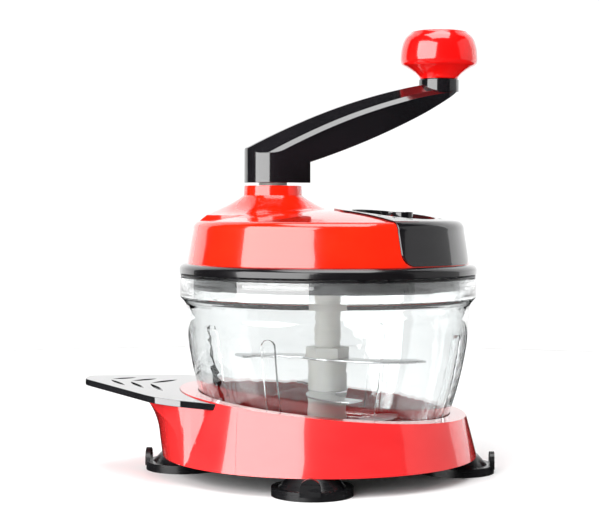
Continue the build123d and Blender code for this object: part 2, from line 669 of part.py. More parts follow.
def gear_plan(teeth):
    """Spur gear outline: flank arcs on the involute, tips and roots as arcs."""
    pitch = GEAR_MODULE * teeth / 2
    base = pitch * math.cos(math.radians(PRESSURE_ANGLE))
    tip = pitch + GEAR_MODULE
    root = pitch - 1.25 * GEAR_MODULE
    half_tooth = math.pi / (2 * teeth) - BACKLASH / pitch + involute_angle(pitch, base)
    start = max(base, root)

    def flank(radius, middle, side):
        angle = middle + side * (half_tooth - involute_angle(radius, base))
        return (radius * math.cos(angle), radius * math.sin(angle))

    edges = []
    step = 2 * math.pi / teeth
    for index in range(teeth):
        middle = index * step
        foot_in = (root * math.cos(middle - half_tooth), root * math.sin(middle - half_tooth))
        foot_out = (root * math.cos(middle + half_tooth), root * math.sin(middle + half_tooth))
        if root >= base:
            foot_in, foot_out = flank(root, middle, -1), flank(root, middle, 1)
        else:
            edges.append(Line(foot_in, flank(start, middle, -1)))
        half_way = (start + tip) / 2
        edges.append(ThreePointArc(flank(start, middle, -1), flank(half_way, middle, -1), flank(tip, middle, -1)))
        crest = (tip * math.cos(middle), tip * math.sin(middle))
        edges.append(ThreePointArc(flank(tip, middle, -1), crest, flank(tip, middle, 1)))
        edges.append(ThreePointArc(flank(tip, middle, 1), flank(half_way, middle, 1), flank(start, middle, 1)))
        if root < base:
            edges.append(Line(flank(start, middle, 1), foot_out))
        ahead = middle + step
        next_foot = (root * math.cos(ahead - half_tooth), root * math.sin(ahead - half_tooth))
        if root >= base:
            next_foot = flank(root, ahead, -1)
        valley = (root * math.cos(middle + step / 2), root * math.sin(middle + step / 2))
        edges.append(ThreePointArc(foot_out, valley, next_foot))
    return Face(Wire(edges))


def crank_gear():
    """Large gear on the crank shaft, a tooth pointing at the pinion."""
    wheel = prism(gear_plan(CRANK_TEETH), GEAR_LOW_Z, GEAR_TOP_Z)
    web = tube(GEAR_MODULE * CRANK_TEETH / 2 - 5, CRANK_SHAFT_R + 5, GEAR_LOW_Z + 2, GEAR_TOP_Z + 1)
    wheel = wheel - web - hexagon_bar(CRANK_SHAFT_R * HEX_SHARE + SEAT_GAP, 0, FAR)
    return Pos(CRANK_X, CRANK_Y, 0) * Rot(0, 0, SPOUT_DIR) * wheel


def pinion():
    """Small gear on the driver, a gap facing the large gear."""
    turn = CRANK_DIR + 180.0 / PINION_TEETH
    wheel = prism(gear_plan(PINION_TEETH), GEAR_LOW_Z, GEAR_TOP_Z)
    return Rot(0, 0, turn) * (wheel - disc(DRIVER_SHAFT_R + SEAT_GAP / 2, 0, FAR))


def driver_shaft():
    """Steel shaft through the pinion into the clutch socket."""
    low = SOCKET_LOW_Z + SOCKET_DEPTH + 1.0
    return disc(DRIVER_SHAFT_R, low, LID_CROWN_Z - LID_WALL - 1.5)


def driver_socket():
    """Clutch cup that turns the blade set by two dogs."""
    cup = disc(SOCKET_R, SOCKET_LOW_Z, SOCKET_TOP_Z)
    cup -= disc(SOCKET_BORE_R, SOCKET_LOW_Z - 1, SOCKET_LOW_Z + SOCKET_DEPTH)
    low = HUB_HEAD_Z + PART_GAP * 4
    for dog in dogs(SOCKET_BORE_R + 1, DOG_INNER_R, low, SOCKET_LOW_Z + SOCKET_DEPTH + 0.5, 0):
        cup += dog
    return cup - disc(DRIVER_SHAFT_R + SEAT_GAP / 2, SOCKET_LOW_Z + SOCKET_DEPTH + 1.0, FAR)


# --- lid ----------------------------------------------------------------------------------------
def lid_form(offset, low=LIP_TOP_Z):
    """Solid of the lid's outside, offset outwards: tapering wall, rounded shoulder, low dome."""
    slope = (LID_FOOT_R - LID_SHOULDER_R) / (LID_SHOULDER_Z - LIP_TOP_Z)
    foot = (LID_SHOULDER_R + slope * (LID_SHOULDER_Z - low) + offset, 0, low)
    shoulder = (LID_SHOULDER_R + offset, 0, LID_SHOULDER_Z)
    brow = (LID_BROW_R + offset, 0, LID_BROW_Z + offset)
    crown = (0, 0, LID_CROWN_Z + offset)
    bend = ((shoulder[0] + brow[0]) / 2 + 1.1, 0, (shoulder[2] + brow[2]) / 2 + 1.0)
    drop = crown[2] - brow[2]
    dome_r = (brow[0] ** 2 + drop ** 2) / (2 * drop)
    sag = dome_r - math.sqrt(dome_r ** 2 - (brow[0] / 2) ** 2)
    dome = ThreePointArc(brow, (brow[0] / 2, 0, crown[2] - sag), crown)
    return turned([Line((0, 0, low), foot), Line(foot, shoulder), ThreePointArc(shoulder, bend, brow), dome,
                   Line(crown, (0, 0, low))])


def oval(half_length, half_width):
    """Slot plan along the spout, centred on the chute."""
    plan = SlotOverall(half_length * 2, half_width * 2)
    return Rot(0, 0, SPOUT_DIR) * Pos(CHUTE_U, 0, 0) * plan


def chute(grow, low, high):
    """Upright oval prism, the chute's size grown all round."""
    return prism(oval(CHUTE_HALF_L + grow, CHUTE_HALF_W + grow), low, high)


def trim_wedge(grow):
    """Plan wedge of the spout trim with its rounded lower corners, grown all round."""
    widen = math.tan(math.radians(TRIM_HALF_AZ))
    plan = make_face(Polyline((TRIM_TIP_U - grow, 0), (TRIM_SHOULDER_U, -TRIM_SHOULDER_V - grow),
                              (TRIM_END_U, -TRIM_END_U * widen - grow), (TRIM_END_U, TRIM_END_U * widen + grow),
                              (TRIM_SHOULDER_U, TRIM_SHOULDER_V + grow), close=True))
    shoulders = [v for v in plan.vertices() if abs(v.X - TRIM_SHOULDER_U) < 0.5]
    plan = fillet(shoulders, TRIM_SHOULDER_FILLET)
    tip = [v for v in plan.vertices() if abs(v.Y) < 0.01]
    plan = fillet(tip, TRIM_TIP_FILLET)
    half = LID_SHOULDER_R * math.sin(math.radians(TRIM_HALF_AZ)) + 1.5 + grow
    tall = 60.0
    front = Rectangle(half * 2, tall)
    front = fillet([v for v in front.vertices() if v.Y < 0], TRIM_CORNER_R)
    upright = Plane(origin=(0, 0, TRIM_FOOT_Z - grow + tall / 2), x_dir=(0, 1, 0), z_dir=(1, 0, 0))
    wedge = prism(plan, TRIM_FOOT_Z - 20, TRIM_FOOT_Z + 60) & extrude(upright * front, TRIM_END_U + 1)
    return Rot(0, 0, SPOUT_DIR) * wedge


def turret_form():
    """Turret over the crank shaft with a concave flare down to the dome."""
    low = LID_BROW_Z - LID_WALL
    waist = (TURRET_R + 0.4, 0, TURRET_WAIST_Z)
    bend = (FLARE_BEND_R, 0, FLARE_BEND_Z)
    foot = (FLARE_FOOT_R, 0, FLARE_FOOT_Z)
    form = turned([Line((0, 0, TURRET_TOP_Z), (TURRET_R, 0, TURRET_TOP_Z)), Line((TURRET_R, 0, TURRET_TOP_Z), waist),
                   ThreePointArc(waist, bend, foot), Line(foot, (FLARE_FOOT_R, 0, low)),
                   Line((FLARE_FOOT_R, 0, low), (0, 0, low)), Line((0, 0, low), (0, 0, TURRET_TOP_Z))],
                  CRANK_X, CRANK_Y)
    brow = turned(chain([(0, LID_CROWN_Z - 12), (LID_BROW_R + 2.5, LID_CROWN_Z - 12),
                         (LID_BROW_R + 2.5, LID_BROW_Z - 1.5), (LID_BROW_R - 5, LID_CROWN_Z - 1.5),
                         (LID_BROW_R - 20, TURRET_TOP_Z + 1), (0, TURRET_TOP_Z + 1)]))
    return form & brow


def lid_boss_places():
    """Where the gear cover's screws stand."""
    return [around(LID_BOSS_CIRCLE_R, CRANK_DIR + turn) for turn in LID_BOSS_TURNS]


def lid_cover():
    """Red lid: wall, dome, turret, fill chute and the gear chamber's bosses."""
    inside = lid_form(-LID_WALL)
    shape = lid_form(0) + turret_form() - inside
    inner = lid_form(-LID_WALL / 2)
    shape += disc(TURRET_BOSS_R, GEAR_TOP_Z + 1.2, LID_CROWN_Z, CRANK_X, CRANK_Y) & inner
    shape += disc(DRIVER_SHAFT_R + BUSH_WALL + 2.2, GEAR_TOP_Z + 1.6, LID_CROWN_Z) & inner
    shape += chute(CHUTE_WALL, GEAR_COVER_Z, LID_CROWN_Z) & inner
    for x, y in lid_boss_places():
        shape += disc(LID_BOSS_R, GEAR_COVER_TOP, LID_CROWN_Z, x, y) & inner
    trim_skin = lid_form(TRIM_PROUD + 2) - lid_form(-TRIM_SUNK - SEAT_GAP)
    shape -= trim_wedge(SEAT_GAP * 2) & trim_skin
    shape -= chute(-LEDGE_W, GEAR_COVER_Z - 1, LID_CROWN_Z + 5)
    shape -= chute(0, LEDGE_Z, LID_CROWN_Z + 5)
    shape -= disc(CRANK_SHAFT_R + BUSH_WALL + SEAT_GAP, GEAR_TOP_Z, FAR, CRANK_X, CRANK_Y)
    flange = CRANK_SHAFT_R + BUSH_WALL + BUSH_FLANGE + SEAT_GAP
    shape -= disc(flange, TURRET_TOP_Z - BUSH_FLANGE_T, FAR, CRANK_X, CRANK_Y)
    shape -= disc(DRIVER_SHAFT_R + BUSH_WALL + SEAT_GAP, GEAR_TOP_Z, LID_CROWN_Z - LID_WALL * 0.8)
    for x, y in lid_boss_places():
        shape -= disc(LID_SCREW_R + SEAT_GAP, GEAR_COVER_Z, GEAR_COVER_TOP + LID_SCREW_L, x, y)
    return shape


def lid_ring():
    """Black lip with its skirt, bayonet segments and the upstand inside the wall."""
    skirt_in = SKIRT_R - SKIRT_WALL
    ring = tube(RIM_R, skirt_in, LIP_LOW_Z, LIP_TOP_Z)
    ring += tube(SKIRT_R, skirt_in, SKIRT_LOW_Z, LIP_TOP_Z)
    slope = (LID_FOOT_R - LID_SHOULDER_R) / (LID_SHOULDER_Z - LIP_TOP_Z)
    wall_in = LID_FOOT_R - LID_WALL - slope * LIP_UPSTAND_H - SEAT_GAP
    ring += tube(wall_in, min(wall_in - LIP_UPSTAND_T, skirt_in), LIP_LOW_Z, LIP_TOP_Z + LIP_UPSTAND_H)
    ring -= disc(wall_in - LIP_UPSTAND_T, 0, FAR)
    for index in range(LUG_COUNT):
        middle = from_front(BAYONET_AZ + index * 360 / LUG_COUNT)
        ring += sector(SKIRT_R + BAYONET_REACH, SKIRT_R - 1, SKIRT_LOW_Z, SKIRT_LOW_Z + BAYONET_T, middle,
                       BAYONET_ARC)
    return ring


def lid_seal():
    """Rubber ring between the lip and the bowl's rim."""
    return tube(RIM_R - 0.8, RIM_R - 0.8 - SEAL_W, SEAL_LOW_Z, SEAL_LOW_Z + SEAL_T)


def spout_trim():
    """Black insert round the fill opening, down over the wall as a spout."""
    skin = lid_form(TRIM_PROUD) - lid_form(-TRIM_SUNK)
    trim = (trim_wedge(0) & skin) - chute(0, LEDGE_Z, FAR)
    end_u = CHUTE_U + CHUTE_HALF_L - CHUTE_HALF_W
    for index in range(DRAIN_COUNT):
        for side in (1, -1):
            angle = side * (DRAIN_FIRST + index * DRAIN_STEP)
            u, v = around(CHUTE_HALF_W + DRAIN_RING, angle, end_u)
            trim -= Rot(0, 0, SPOUT_DIR) * disc(DRAIN_R, LID_BROW_Z - 3, FAR, u, v)
    return trim


def fill_plug():
    """Oval plug that lifts out of the fill opening by its round boss."""
    low = LEDGE_Z + PART_GAP
    plug = chute(-PART_GAP, low, low + PLUG_T)
    boss = Rot(0, 0, SPOUT_DIR) * disc(PLUG_BOSS_R, low, low + PLUG_T + PLUG_BOSS_H, PLUG_BOSS_U, 0)
    dish = chute(-PART_GAP - 1.8, low + PLUG_T - 1.2, FAR)
    return (plug - dish) + boss


def gear_cover():
    """Plate that closes the gear chamber and carries the driver."""
    slope = (LID_FOOT_R - LID_SHOULDER_R) / (LID_SHOULDER_Z - LIP_TOP_Z)
    radius = LID_FOOT_R - LID_WALL - slope * (GEAR_COVER_TOP - LIP_TOP_Z) - SEAT_GAP * 2
    plate = disc(radius, GEAR_COVER_Z, GEAR_COVER_TOP) - chute(CHUTE_WALL + SEAT_GAP, 0, FAR)
    plate -= disc(DRIVER_SHAFT_R + BUSH_WALL + SEAT_GAP, 0, FAR)
    for x, y in lid_boss_places():
        plate -= disc(LID_SCREW_R + SEAT_GAP, 0, FAR, x, y)
    return plate


def lid_screws():
    """Screws that hold the gear cover."""
    head = 1.4
    return [screw(x, y, GEAR_COVER_Z - head, LID_SCREW_R * 2, head, LID_SCREW_R, LID_SCREW_L)
            for x, y in lid_boss_places()]


def turret_bush():
    """Plastic bush of the crank shaft, flanged on top."""
    outer = CRANK_SHAFT_R + BUSH_WALL
    bush = disc(outer, GEAR_TOP_Z + 1.2, TURRET_TOP_Z, CRANK_X, CRANK_Y)
    bush += disc(outer + BUSH_FLANGE, TURRET_TOP_Z - BUSH_FLANGE_T, TURRET_TOP_Z, CRANK_X, CRANK_Y)
    return bush - disc(CRANK_SHAFT_R + RUNNING_FIT, 0, FAR, CRANK_X, CRANK_Y)


def driver_bush_upper():
    """Plastic bush at the driver's upper end, in the dome."""
    outer = DRIVER_SHAFT_R + BUSH_WALL
    return tube(outer, DRIVER_SHAFT_R + RUNNING_FIT, GEAR_TOP_Z + 1.2, LID_CROWN_Z - LID_WALL - SEAT_GAP)


def driver_bush_lower():
    """Plastic bush of the driver in the gear cover, flanged above it."""
    outer = DRIVER_SHAFT_R + BUSH_WALL
    bush = disc(outer, GEAR_COVER_Z, GEAR_COVER_TOP)
    bush += disc(outer + BUSH_FLANGE, GEAR_COVER_TOP, GEAR_COVER_TOP + BUSH_FLANGE_T)
    return bush - disc(DRIVER_SHAFT_R + RUNNING_FIT, 0, FAR)


# --- crank --------------------------------------------------------------------------------------
def on_crank(shape):
    """Turns a shape drawn along +X into the crank's direction, about its shaft."""
    return Pos(CRANK_X, CRANK_Y, 0) * Rot(0, 0, ARM_AZ) * shape


def crest_height(x):
    """Height of the arm's bowed crest, on the parabola through its back, middle and tip."""
    places = [(-HUB_R, HUB_BACK_Z), ARM_CREST_MID, (ARM_LENGTH - TIP_R, TIP_UNDER_Z)]
    height = 0.0
    for i, (xi, zi) in enumerate(places):
        share = zi
        for j, (xj, _) in enumerate(places):
            if j != i:
                share *= (x - xj) / (xi - xj)
        height += share
    return height


def arm_side():
    """Side view of the arm's underside and ends, as a face in the XZ plane, open above its crest."""
    back = -HUB_R - 3
    tip = ARM_LENGTH + TIP_R + 1
    high = TIP_TOP_Z + 20
    points = [(back, HUB_LOW_Z), (HUB_R, HUB_LOW_Z), (HUB_R, HUB_SIDE_Z), ARM_UNDER_KNEE, (tip, TIP_UNDER_Z),
              (tip, high), (back, high)]
    p = [(x, 0, z) for x, z in points]
    under = (ARM_UNDER_MID[0], 0, ARM_UNDER_MID[1])
    curl = (ARM_UNDER_CURL[0], 0, ARM_UNDER_CURL[1])
    return Face(Wire([Line(p[0], p[1]), Line(p[1], p[2]), ThreePointArc(p[2], under, p[3]),
                      ThreePointArc(p[3], curl, p[4]), Line(p[4], p[5]), Line(p[5], p[6]), Line(p[6], p[0])]))


def arm_roof():
    """Form whose top is the arm's crest: a gable with a steeper strip along both sides."""
    wide = HUB_R * 1.4
    sections = []
    start = -HUB_R - 4
    length = ARM_LENGTH + TIP_R + HUB_R + 6
    for index in range(ARM_SECTIONS + 1):
        x = start + length * index / ARM_SECTIONS
        half = HUB_R + (TIP_R - HUB_R) * x / ARM_LENGTH
        top = crest_height(min(x, ARM_LENGTH))
        eave = top - (half - ARM_STRIP - ARM_RIDGE) * math.tan(math.radians(ARM_PITCH))
        side = [(wide, HUB_LOW_Z - 5), (wide, eave - (wide - half + ARM_STRIP)), (half - ARM_STRIP, eave),
                (ARM_RIDGE, top)]
        corners = [(x, y, z) for y, z in side] + [(x, -y, z) for y, z in reversed(side)]
        sections.append(Face(Wire.make_polygon([Vector(*c) for c in corners], close=True)))
    return loft(sections)


def arm_plan():
    """Plan of the arm: hub circle, tip circle and their tangents."""
    lean = math.asin((HUB_R - TIP_R) / ARM_LENGTH)
    corners = [(HUB_R * math.sin(lean), HUB_R * math.cos(lean)),
               (ARM_LENGTH + TIP_R * math.sin(lean), TIP_R * math.cos(lean))]
    outline = [corners[0], corners[1], (corners[1][0], -corners[1][1]), (corners[0][0], -corners[0][1])]
    return make_face(Polyline(*outline, close=True)) + Circle(HUB_R) + Pos(ARM_LENGTH, 0) * Circle(TIP_R)


def crank_arm():
    """Black arm with a bevelled crest, its hub over the shaft and a seat for the knob."""
    side = extrude(arm_side(), HUB_R * 2, dir=(0, 1, 0)) + extrude(arm_side(), HUB_R * 2, dir=(0, -1, 0))
    arm = side & prism(arm_plan(), HUB_LOW_Z - 1, TIP_TOP_Z + 20) & arm_roof()
    arm += disc(TIP_R, TIP_UNDER_Z - 4, TIP_TOP_Z, ARM_LENGTH)
    arm -= hexagon_bar(CRANK_SHAFT_R * HEX_SHARE + SEAT_GAP, 0, HUB_LOW_Z + HUB_SOCKET_DEPTH)
    arm -= disc(STUD_R * 0.7 + SEAT_GAP, TIP_TOP_Z - STUD_THREAD_L, FAR, ARM_LENGTH)
    return on_crank(arm)


def crank_shaft():
    """Steel shaft, hexagonal in the gear and in the arm's hub."""
    hub_top = HUB_LOW_Z + HUB_SOCKET_DEPTH - SEAT_GAP
    shaft = disc(CRANK_SHAFT_R, GEAR_TOP_Z, HUB_LOW_Z)
    shaft += hexagon_bar(CRANK_SHAFT_R * HEX_SHARE, HUB_LOW_Z, hub_top)
    shaft += Rot(0, 0, SPOUT_DIR - ARM_AZ) * hexagon_bar(CRANK_SHAFT_R * HEX_SHARE, GEAR_LOW_Z, GEAR_TOP_Z)
    return on_crank(shaft - disc(CRANK_SCREW_R + SEAT_GAP, 0, GEAR_TOP_Z + 4))


def spacer_washer():
    """Washer between the hub and the turret."""
    low = TURRET_TOP_Z + PART_GAP
    return tube(SPACER_R, CRANK_SHAFT_R + SEAT_GAP, low, HUB_LOW_Z, CRANK_X, CRANK_Y)


def gear_washer():
    """Washer under the large gear."""
    return tube(WASHER_R, CRANK_SCREW_R + SEAT_GAP, GEAR_LOW_Z - WASHER_T, GEAR_LOW_Z, CRANK_X, CRANK_Y)


def gear_screw():
    """Screw that holds the large gear on the shaft."""
    head_low = GEAR_LOW_Z - WASHER_T - CRANK_SCREW_HEAD_T
    return screw(CRANK_X, CRANK_Y, head_low, CRANK_SCREW_HEAD_R, CRANK_SCREW_HEAD_T, CRANK_SCREW_R, GEAR_T + 2)


def knob_stud():
    """Steel shoulder screw the knob turns on."""
    stud = disc(STUD_R, TIP_TOP_Z, STUD_HEAD_Z, KNOB_X, KNOB_Y)
    stud += disc(STUD_R * 0.7, TIP_TOP_Z - STUD_THREAD_L + SEAT_GAP, TIP_TOP_Z, KNOB_X, KNOB_Y)
    stud += disc(STUD_HEAD_R, STUD_HEAD_Z, STUD_HEAD_Z + STUD_HEAD_T, KNOB_X, KNOB_Y)
    return stud - hexagon_bar(STUD_R * 0.6, STUD_HEAD_Z, FAR, KNOB_X, KNOB_Y)


def knob():
    """Red mushroom knob, hollow for its bush and the stud's head."""
    low = TIP_TOP_Z + PART_GAP
    face = (KNOB_FACE_R, 0, KNOB_TOP_Z)
    wide = (KNOB_R, 0, KNOB_WIDE_Z)
    lip = (KNOB_LIP_R, 0, KNOB_LIP_Z)
    neck = (KNOB_NECK_R, 0, low)
    side_mid = ((face[0] + wide[0]) / 2 + 0.9, 0, (face[2] + wide[2]) / 2 + 0.9)
    lip_mid = ((wide[0] + lip[0]) / 2 + 0.8, 0, (wide[2] + lip[2]) / 2 - 0.6)
    cone_mid = ((lip[0] + neck[0]) / 2 - 0.5, 0, (lip[2] + neck[2]) / 2 + 0.5)
    body = turned([Line((0, 0, low), neck), ThreePointArc(neck, cone_mid, lip), ThreePointArc(lip, lip_mid, wide),
                   ThreePointArc(wide, side_mid, face), Line(face, (0, 0, KNOB_TOP_Z)),
                   Line((0, 0, KNOB_TOP_Z), (0, 0, low))])
    body -= disc(STUD_R + KNOB_BUSH_WALL + SEAT_GAP, low - 1, STUD_HEAD_Z - PART_GAP)
    body -= disc(STUD_HEAD_R + LOOSE_GAP, STUD_HEAD_Z - PART_GAP, FAR)
    body -= disc(KNOB_CAP_R + SEAT_GAP, KNOB_TOP_Z - KNOB_CAP_T, FAR)
    return Pos(KNOB_X, KNOB_Y, 0) * body


def knob_bush():
    """Plastic bush between the knob and its stud."""
    return tube(STUD_R + KNOB_BUSH_WALL, STUD_R + RUNNING_FIT, TIP_TOP_Z + PART_GAP, STUD_HEAD_Z - PART_GAP,
                KNOB_X, KNOB_Y)


def knob_cap():
    """Red disc that closes the knob over the stud's head."""
    return disc(KNOB_CAP_R, KNOB_TOP_Z - KNOB_CAP_T, KNOB_TOP_Z, KNOB_X, KNOB_Y)


# --- all pieces ---------------------------------------------------------------------------------
def pieces():
    """Every node's name and its solid or group of solids."""
    cups = {"suction_cup_right": 0, "suction_cup_back": 90, "suction_cup_left": 180, "suction_cup_front": 270}
    made = {
        "base_ring": base_ring(), "base_arm": base_arm(), "grip_plate": grip_plate(),
        "grip_screws": grip_screws(), "base_bottom_plate": base_bottom_plate(), "base_screws": base_screws(),
        "well_mat": well_mat(), "bowl": bowl(), "spindle_pin": spindle_pin(),
        "blade_hub": blade_hub(), "blade_lower": blade(LOWER_BLADE_Z, BLADE_TURNS[0]),
        "blade_middle": blade(MIDDLE_BLADE_Z, BLADE_TURNS[1]), "blade_upper": blade(UPPER_BLADE_Z, BLADE_TURNS[2]),
        "spacer_lower": blade_spacer(LOWER_BLADE_Z + BLADE_T, LOWER_SPACER_H),
        "spacer_upper": blade_spacer(MIDDLE_BLADE_Z + BLADE_T, UPPER_SPACER_H), "blade_nut": blade_nut(),
        "lid_seal": lid_seal(), "lid_ring": lid_ring(), "lid_cover": lid_cover(), "spout_trim": spout_trim(),
        "fill_plug": fill_plug(), "gear_cover": gear_cover(), "lid_screws": lid_screws(),
        "turret_bush": turret_bush(), "driver_bush_upper": driver_bush_upper(),
        "driver_bush_lower": driver_bush_lower(), "pinion": pinion(), "driver_shaft": driver_shaft(),
        "driver_socket": driver_socket(), "crank_gear": crank_gear(), "crank_shaft": crank_shaft(),
        "gear_washer": gear_washer(), "gear_screw": gear_screw(), "spacer_washer": spacer_washer(),
        "crank_arm": crank_arm(), "knob_stud": knob_stud(), "knob": knob(), "knob_bush": knob_bush(),
        "knob_cap": knob_cap(),
    }
    made.update({name: suction_cup(angle) for name, angle in cups.items()})
    return made


def main():
    """Writes one STEP file for each node."""
    os.makedirs("parts", exist_ok=True)
    for name, shape in pieces().items():
        whole = Compound(children=shape) if isinstance(shape, list) else shape
        export_step(whole, f"parts/{name}.step")


main()
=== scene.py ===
"""Dresses the hand cranked food chopper: finishes, softened forms, light and camera."""
from __future__ import annotations

import json
import logging
import math
from dataclasses import dataclass, field
from enum import Enum
from typing import Any

import bmesh
import bpy
from mathutils import Matrix, Vector

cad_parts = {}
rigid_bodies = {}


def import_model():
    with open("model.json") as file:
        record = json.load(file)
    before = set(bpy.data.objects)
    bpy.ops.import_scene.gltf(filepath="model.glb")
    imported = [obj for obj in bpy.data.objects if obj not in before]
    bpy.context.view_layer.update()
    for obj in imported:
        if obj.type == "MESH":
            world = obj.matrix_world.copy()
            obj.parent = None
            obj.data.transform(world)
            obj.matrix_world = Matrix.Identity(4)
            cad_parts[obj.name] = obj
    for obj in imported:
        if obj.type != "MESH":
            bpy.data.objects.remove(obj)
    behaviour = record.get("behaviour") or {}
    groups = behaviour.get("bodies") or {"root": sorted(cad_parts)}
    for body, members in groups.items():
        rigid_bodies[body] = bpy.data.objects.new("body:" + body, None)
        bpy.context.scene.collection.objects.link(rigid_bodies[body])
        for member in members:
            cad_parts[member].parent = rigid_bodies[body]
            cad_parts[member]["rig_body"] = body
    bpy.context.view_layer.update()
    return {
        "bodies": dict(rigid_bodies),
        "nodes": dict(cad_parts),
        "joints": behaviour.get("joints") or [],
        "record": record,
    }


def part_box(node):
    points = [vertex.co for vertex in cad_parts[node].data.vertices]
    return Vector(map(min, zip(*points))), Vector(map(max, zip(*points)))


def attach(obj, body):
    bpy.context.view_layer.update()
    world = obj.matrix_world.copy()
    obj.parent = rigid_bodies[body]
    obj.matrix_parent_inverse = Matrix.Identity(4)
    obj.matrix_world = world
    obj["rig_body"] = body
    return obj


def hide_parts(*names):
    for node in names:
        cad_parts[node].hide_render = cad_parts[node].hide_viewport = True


LOG = logging.getLogger("chopper")
MM = 0.001

Point = tuple[float, float]
Profile = list[Point]
Colour = tuple[float, float, float]
Socket = bpy.types.NodeSocket
Material = bpy.types.Material
Piece = bpy.types.Object
BMesh = bmesh.types.BMesh


class Finish(Enum):
    """Material slots of the record."""

    RED = "red_plastic"
    BLACK = "black_plastic"
    CLEAR = "clear_plastic"
    WHITE = "white_plastic"
    RUBBER = "black_rubber"
    STEEL = "steel"


class Brushing(Enum):
    """How the brush marks run on a steel piece."""

    ALONG = "along"
    ROUND = "round"


# --- materials -------------------------------------------------------------------------------
@dataclass
class Shader:
    """A material being built: its node tree and the few nodes every finish shares."""

    name: str
    material: Material = field(init=False)
    surface: bpy.types.Node = field(init=False)
    place: bpy.types.Node = field(init=False)

    def __post_init__(self) -> None:
        """Starts the tree with a Principled surface and Object coordinates."""
        self.material = bpy.data.materials.new(self.name)
        self.material.use_nodes = True
        tree = self.material.node_tree
        self.surface = tree.nodes["Principled BSDF"]
        self.place = tree.nodes.new("ShaderNodeTexCoord")

    def node(self, kind: str, **values: object) -> bpy.types.Node:
        """Adds a node and sets its input sockets.

        Args:
            kind: The node's Blender type.
            values: Socket names, with underscores for spaces, and their values.

        Returns:
            The new node.
        """
        made = self.material.node_tree.nodes.new(kind)
        for name, value in values.items():
            made.inputs[name.replace("_", " ")].default_value = value
        return made

    def link(self, source: Socket, target: Socket) -> None:
        """Joins an output socket to an input socket."""
        self.material.node_tree.links.new(source, target)

    def coordinates(self, stretch: tuple[float, float, float] = (1.0, 1.0, 1.0)) -> Socket:
        """Object coordinates, stretched along the axes.

        Args:
            stretch: Scale of the pattern along X, Y and Z.

        Returns:
            The socket that carries the coordinates.
        """
        mapping = self.node("ShaderNodeMapping", Scale=stretch)
        self.link(self.place.outputs["Object"], mapping.inputs["Vector"])
        return mapping.outputs["Vector"]

    def noise(self, scale: float, detail: float = 3.0, where: Socket | None = None) -> Socket:
        """Noise pattern on Object coordinates.

        Args:
            scale: Cells for each metre.
            detail: Octaves of finer noise.
            where: Coordinates to use in place of the plain ones.

        Returns:
            The socket with the noise, from 0 to 1.
        """
        made = self.node("ShaderNodeTexNoise", Scale=scale, Detail=detail)
        self.link(where or self.place.outputs["Object"], made.inputs["Vector"])
        return made.outputs["Fac"]

    def spread(self, source: Socket, low: float, high: float,
               start: float = 0.35, end: float = 0.65) -> Socket:
        """Maps part of a pattern's range to a pair of values.

        Args:
            source: The pattern.
            low: Value where the pattern is at start or below.
            high: Value where the pattern is at end or above.
            start: Pattern value that gives low.
            end: Pattern value that gives high.

        Returns:
            The socket with the mapped value.
        """
        made = self.node("ShaderNodeMapRange")
        made.inputs["From Min"].default_value = start
        made.inputs["From Max"].default_value = end
        made.inputs["To Min"].default_value = low
        made.inputs["To Max"].default_value = high
        self.link(source, made.inputs["Value"])
        return made.outputs["Result"]

    def blend(self, factor: Socket, first: Colour, second: Colour) -> Socket:
        """Colour that runs between two colours.

        Args:
            factor: Share of the second colour.
            first: Colour at 0.
            second: Colour at 1.

        Returns:
            The socket with the colour.
        """
        made = self.material.node_tree.nodes.new("ShaderNodeMix")
        made.data_type = "RGBA"
        made.inputs["A"].default_value = (*first, 1.0)
        made.inputs["B"].default_value = (*second, 1.0)
        self.link(factor, made.inputs["Factor"])
        return made.outputs["Result"]

    def bump(self, height: Socket, strength: float, distance: float,
             under: Socket | None = None) -> Socket:
        """Surface relief from a pattern.

        Args:
            height: The pattern.
            strength: How much of it shows.
            distance: Relief depth in metres.
            under: A relief that this one lies on.

        Returns:
            The socket with the normal.
        """
        made = self.node("ShaderNodeBump", Strength=strength, Distance=distance)
        self.link(height, made.inputs["Height"])
        if under is not None:
            self.link(under, made.inputs["Normal"])
        return made.outputs["Normal"]

    def set(self, **values: object) -> None:
        """Sets input sockets of the Principled surface."""
        for name, value in values.items():
            self.surface.inputs[name.replace("_", " ")].default_value = value


@dataclass(frozen=True)
class GlossPlastic:
    """Injection moulded gloss: deep colour, faint flow marks, mirror coat with a moulded ripple."""

    name: str
    colour: Colour
    deep: Colour
    roughness: float = 0.16
    coat_roughness: float = 0.02
    coat_ior: float = 1.58
    ripple: float = 0.03
    scuffs: float = 0.05
    flow_scale: float = 14.0
    flow_stretch: float = 2.2
    hair_scale: float = 90.0
    wave_scale: float = 26.0
    wave_depth: float = 0.0012
    grain_scale: float = 900.0
    grain_depth: float = 0.00005

    def build(self) -> Material:
        """Makes the material.

        Returns:
            The material, with its whole node tree.
        """
        shader = Shader(self.name)
        flow = shader.noise(self.flow_scale, 4.0, shader.coordinates((1.0, 1.0, self.flow_stretch)))
        colour = shader.blend(shader.spread(flow, 0.0, 1.0), self.colour, self.deep)
        shader.link(colour, shader.surface.inputs["Base Color"])
        hairs = shader.noise(self.hair_scale, 6.0, shader.coordinates((1.0, 8.0, 3.0)))
        rough = shader.spread(hairs, self.roughness, self.roughness + self.scuffs, 0.5, 0.8)
        shader.link(rough, shader.surface.inputs["Roughness"])
        wave = shader.bump(shader.noise(self.wave_scale, 1.0), self.ripple, self.wave_depth)
        grain = shader.bump(shader.noise(self.grain_scale, 2.0), self.ripple, self.grain_depth, wave)
        shader.link(grain, shader.surface.inputs["Normal"])
        shader.link(wave, shader.surface.inputs["Coat Normal"])
        shader.set(IOR=1.5, Coat_Weight=1.0, Coat_Roughness=self.coat_roughness, Coat_IOR=self.coat_ior)
        return shader.material


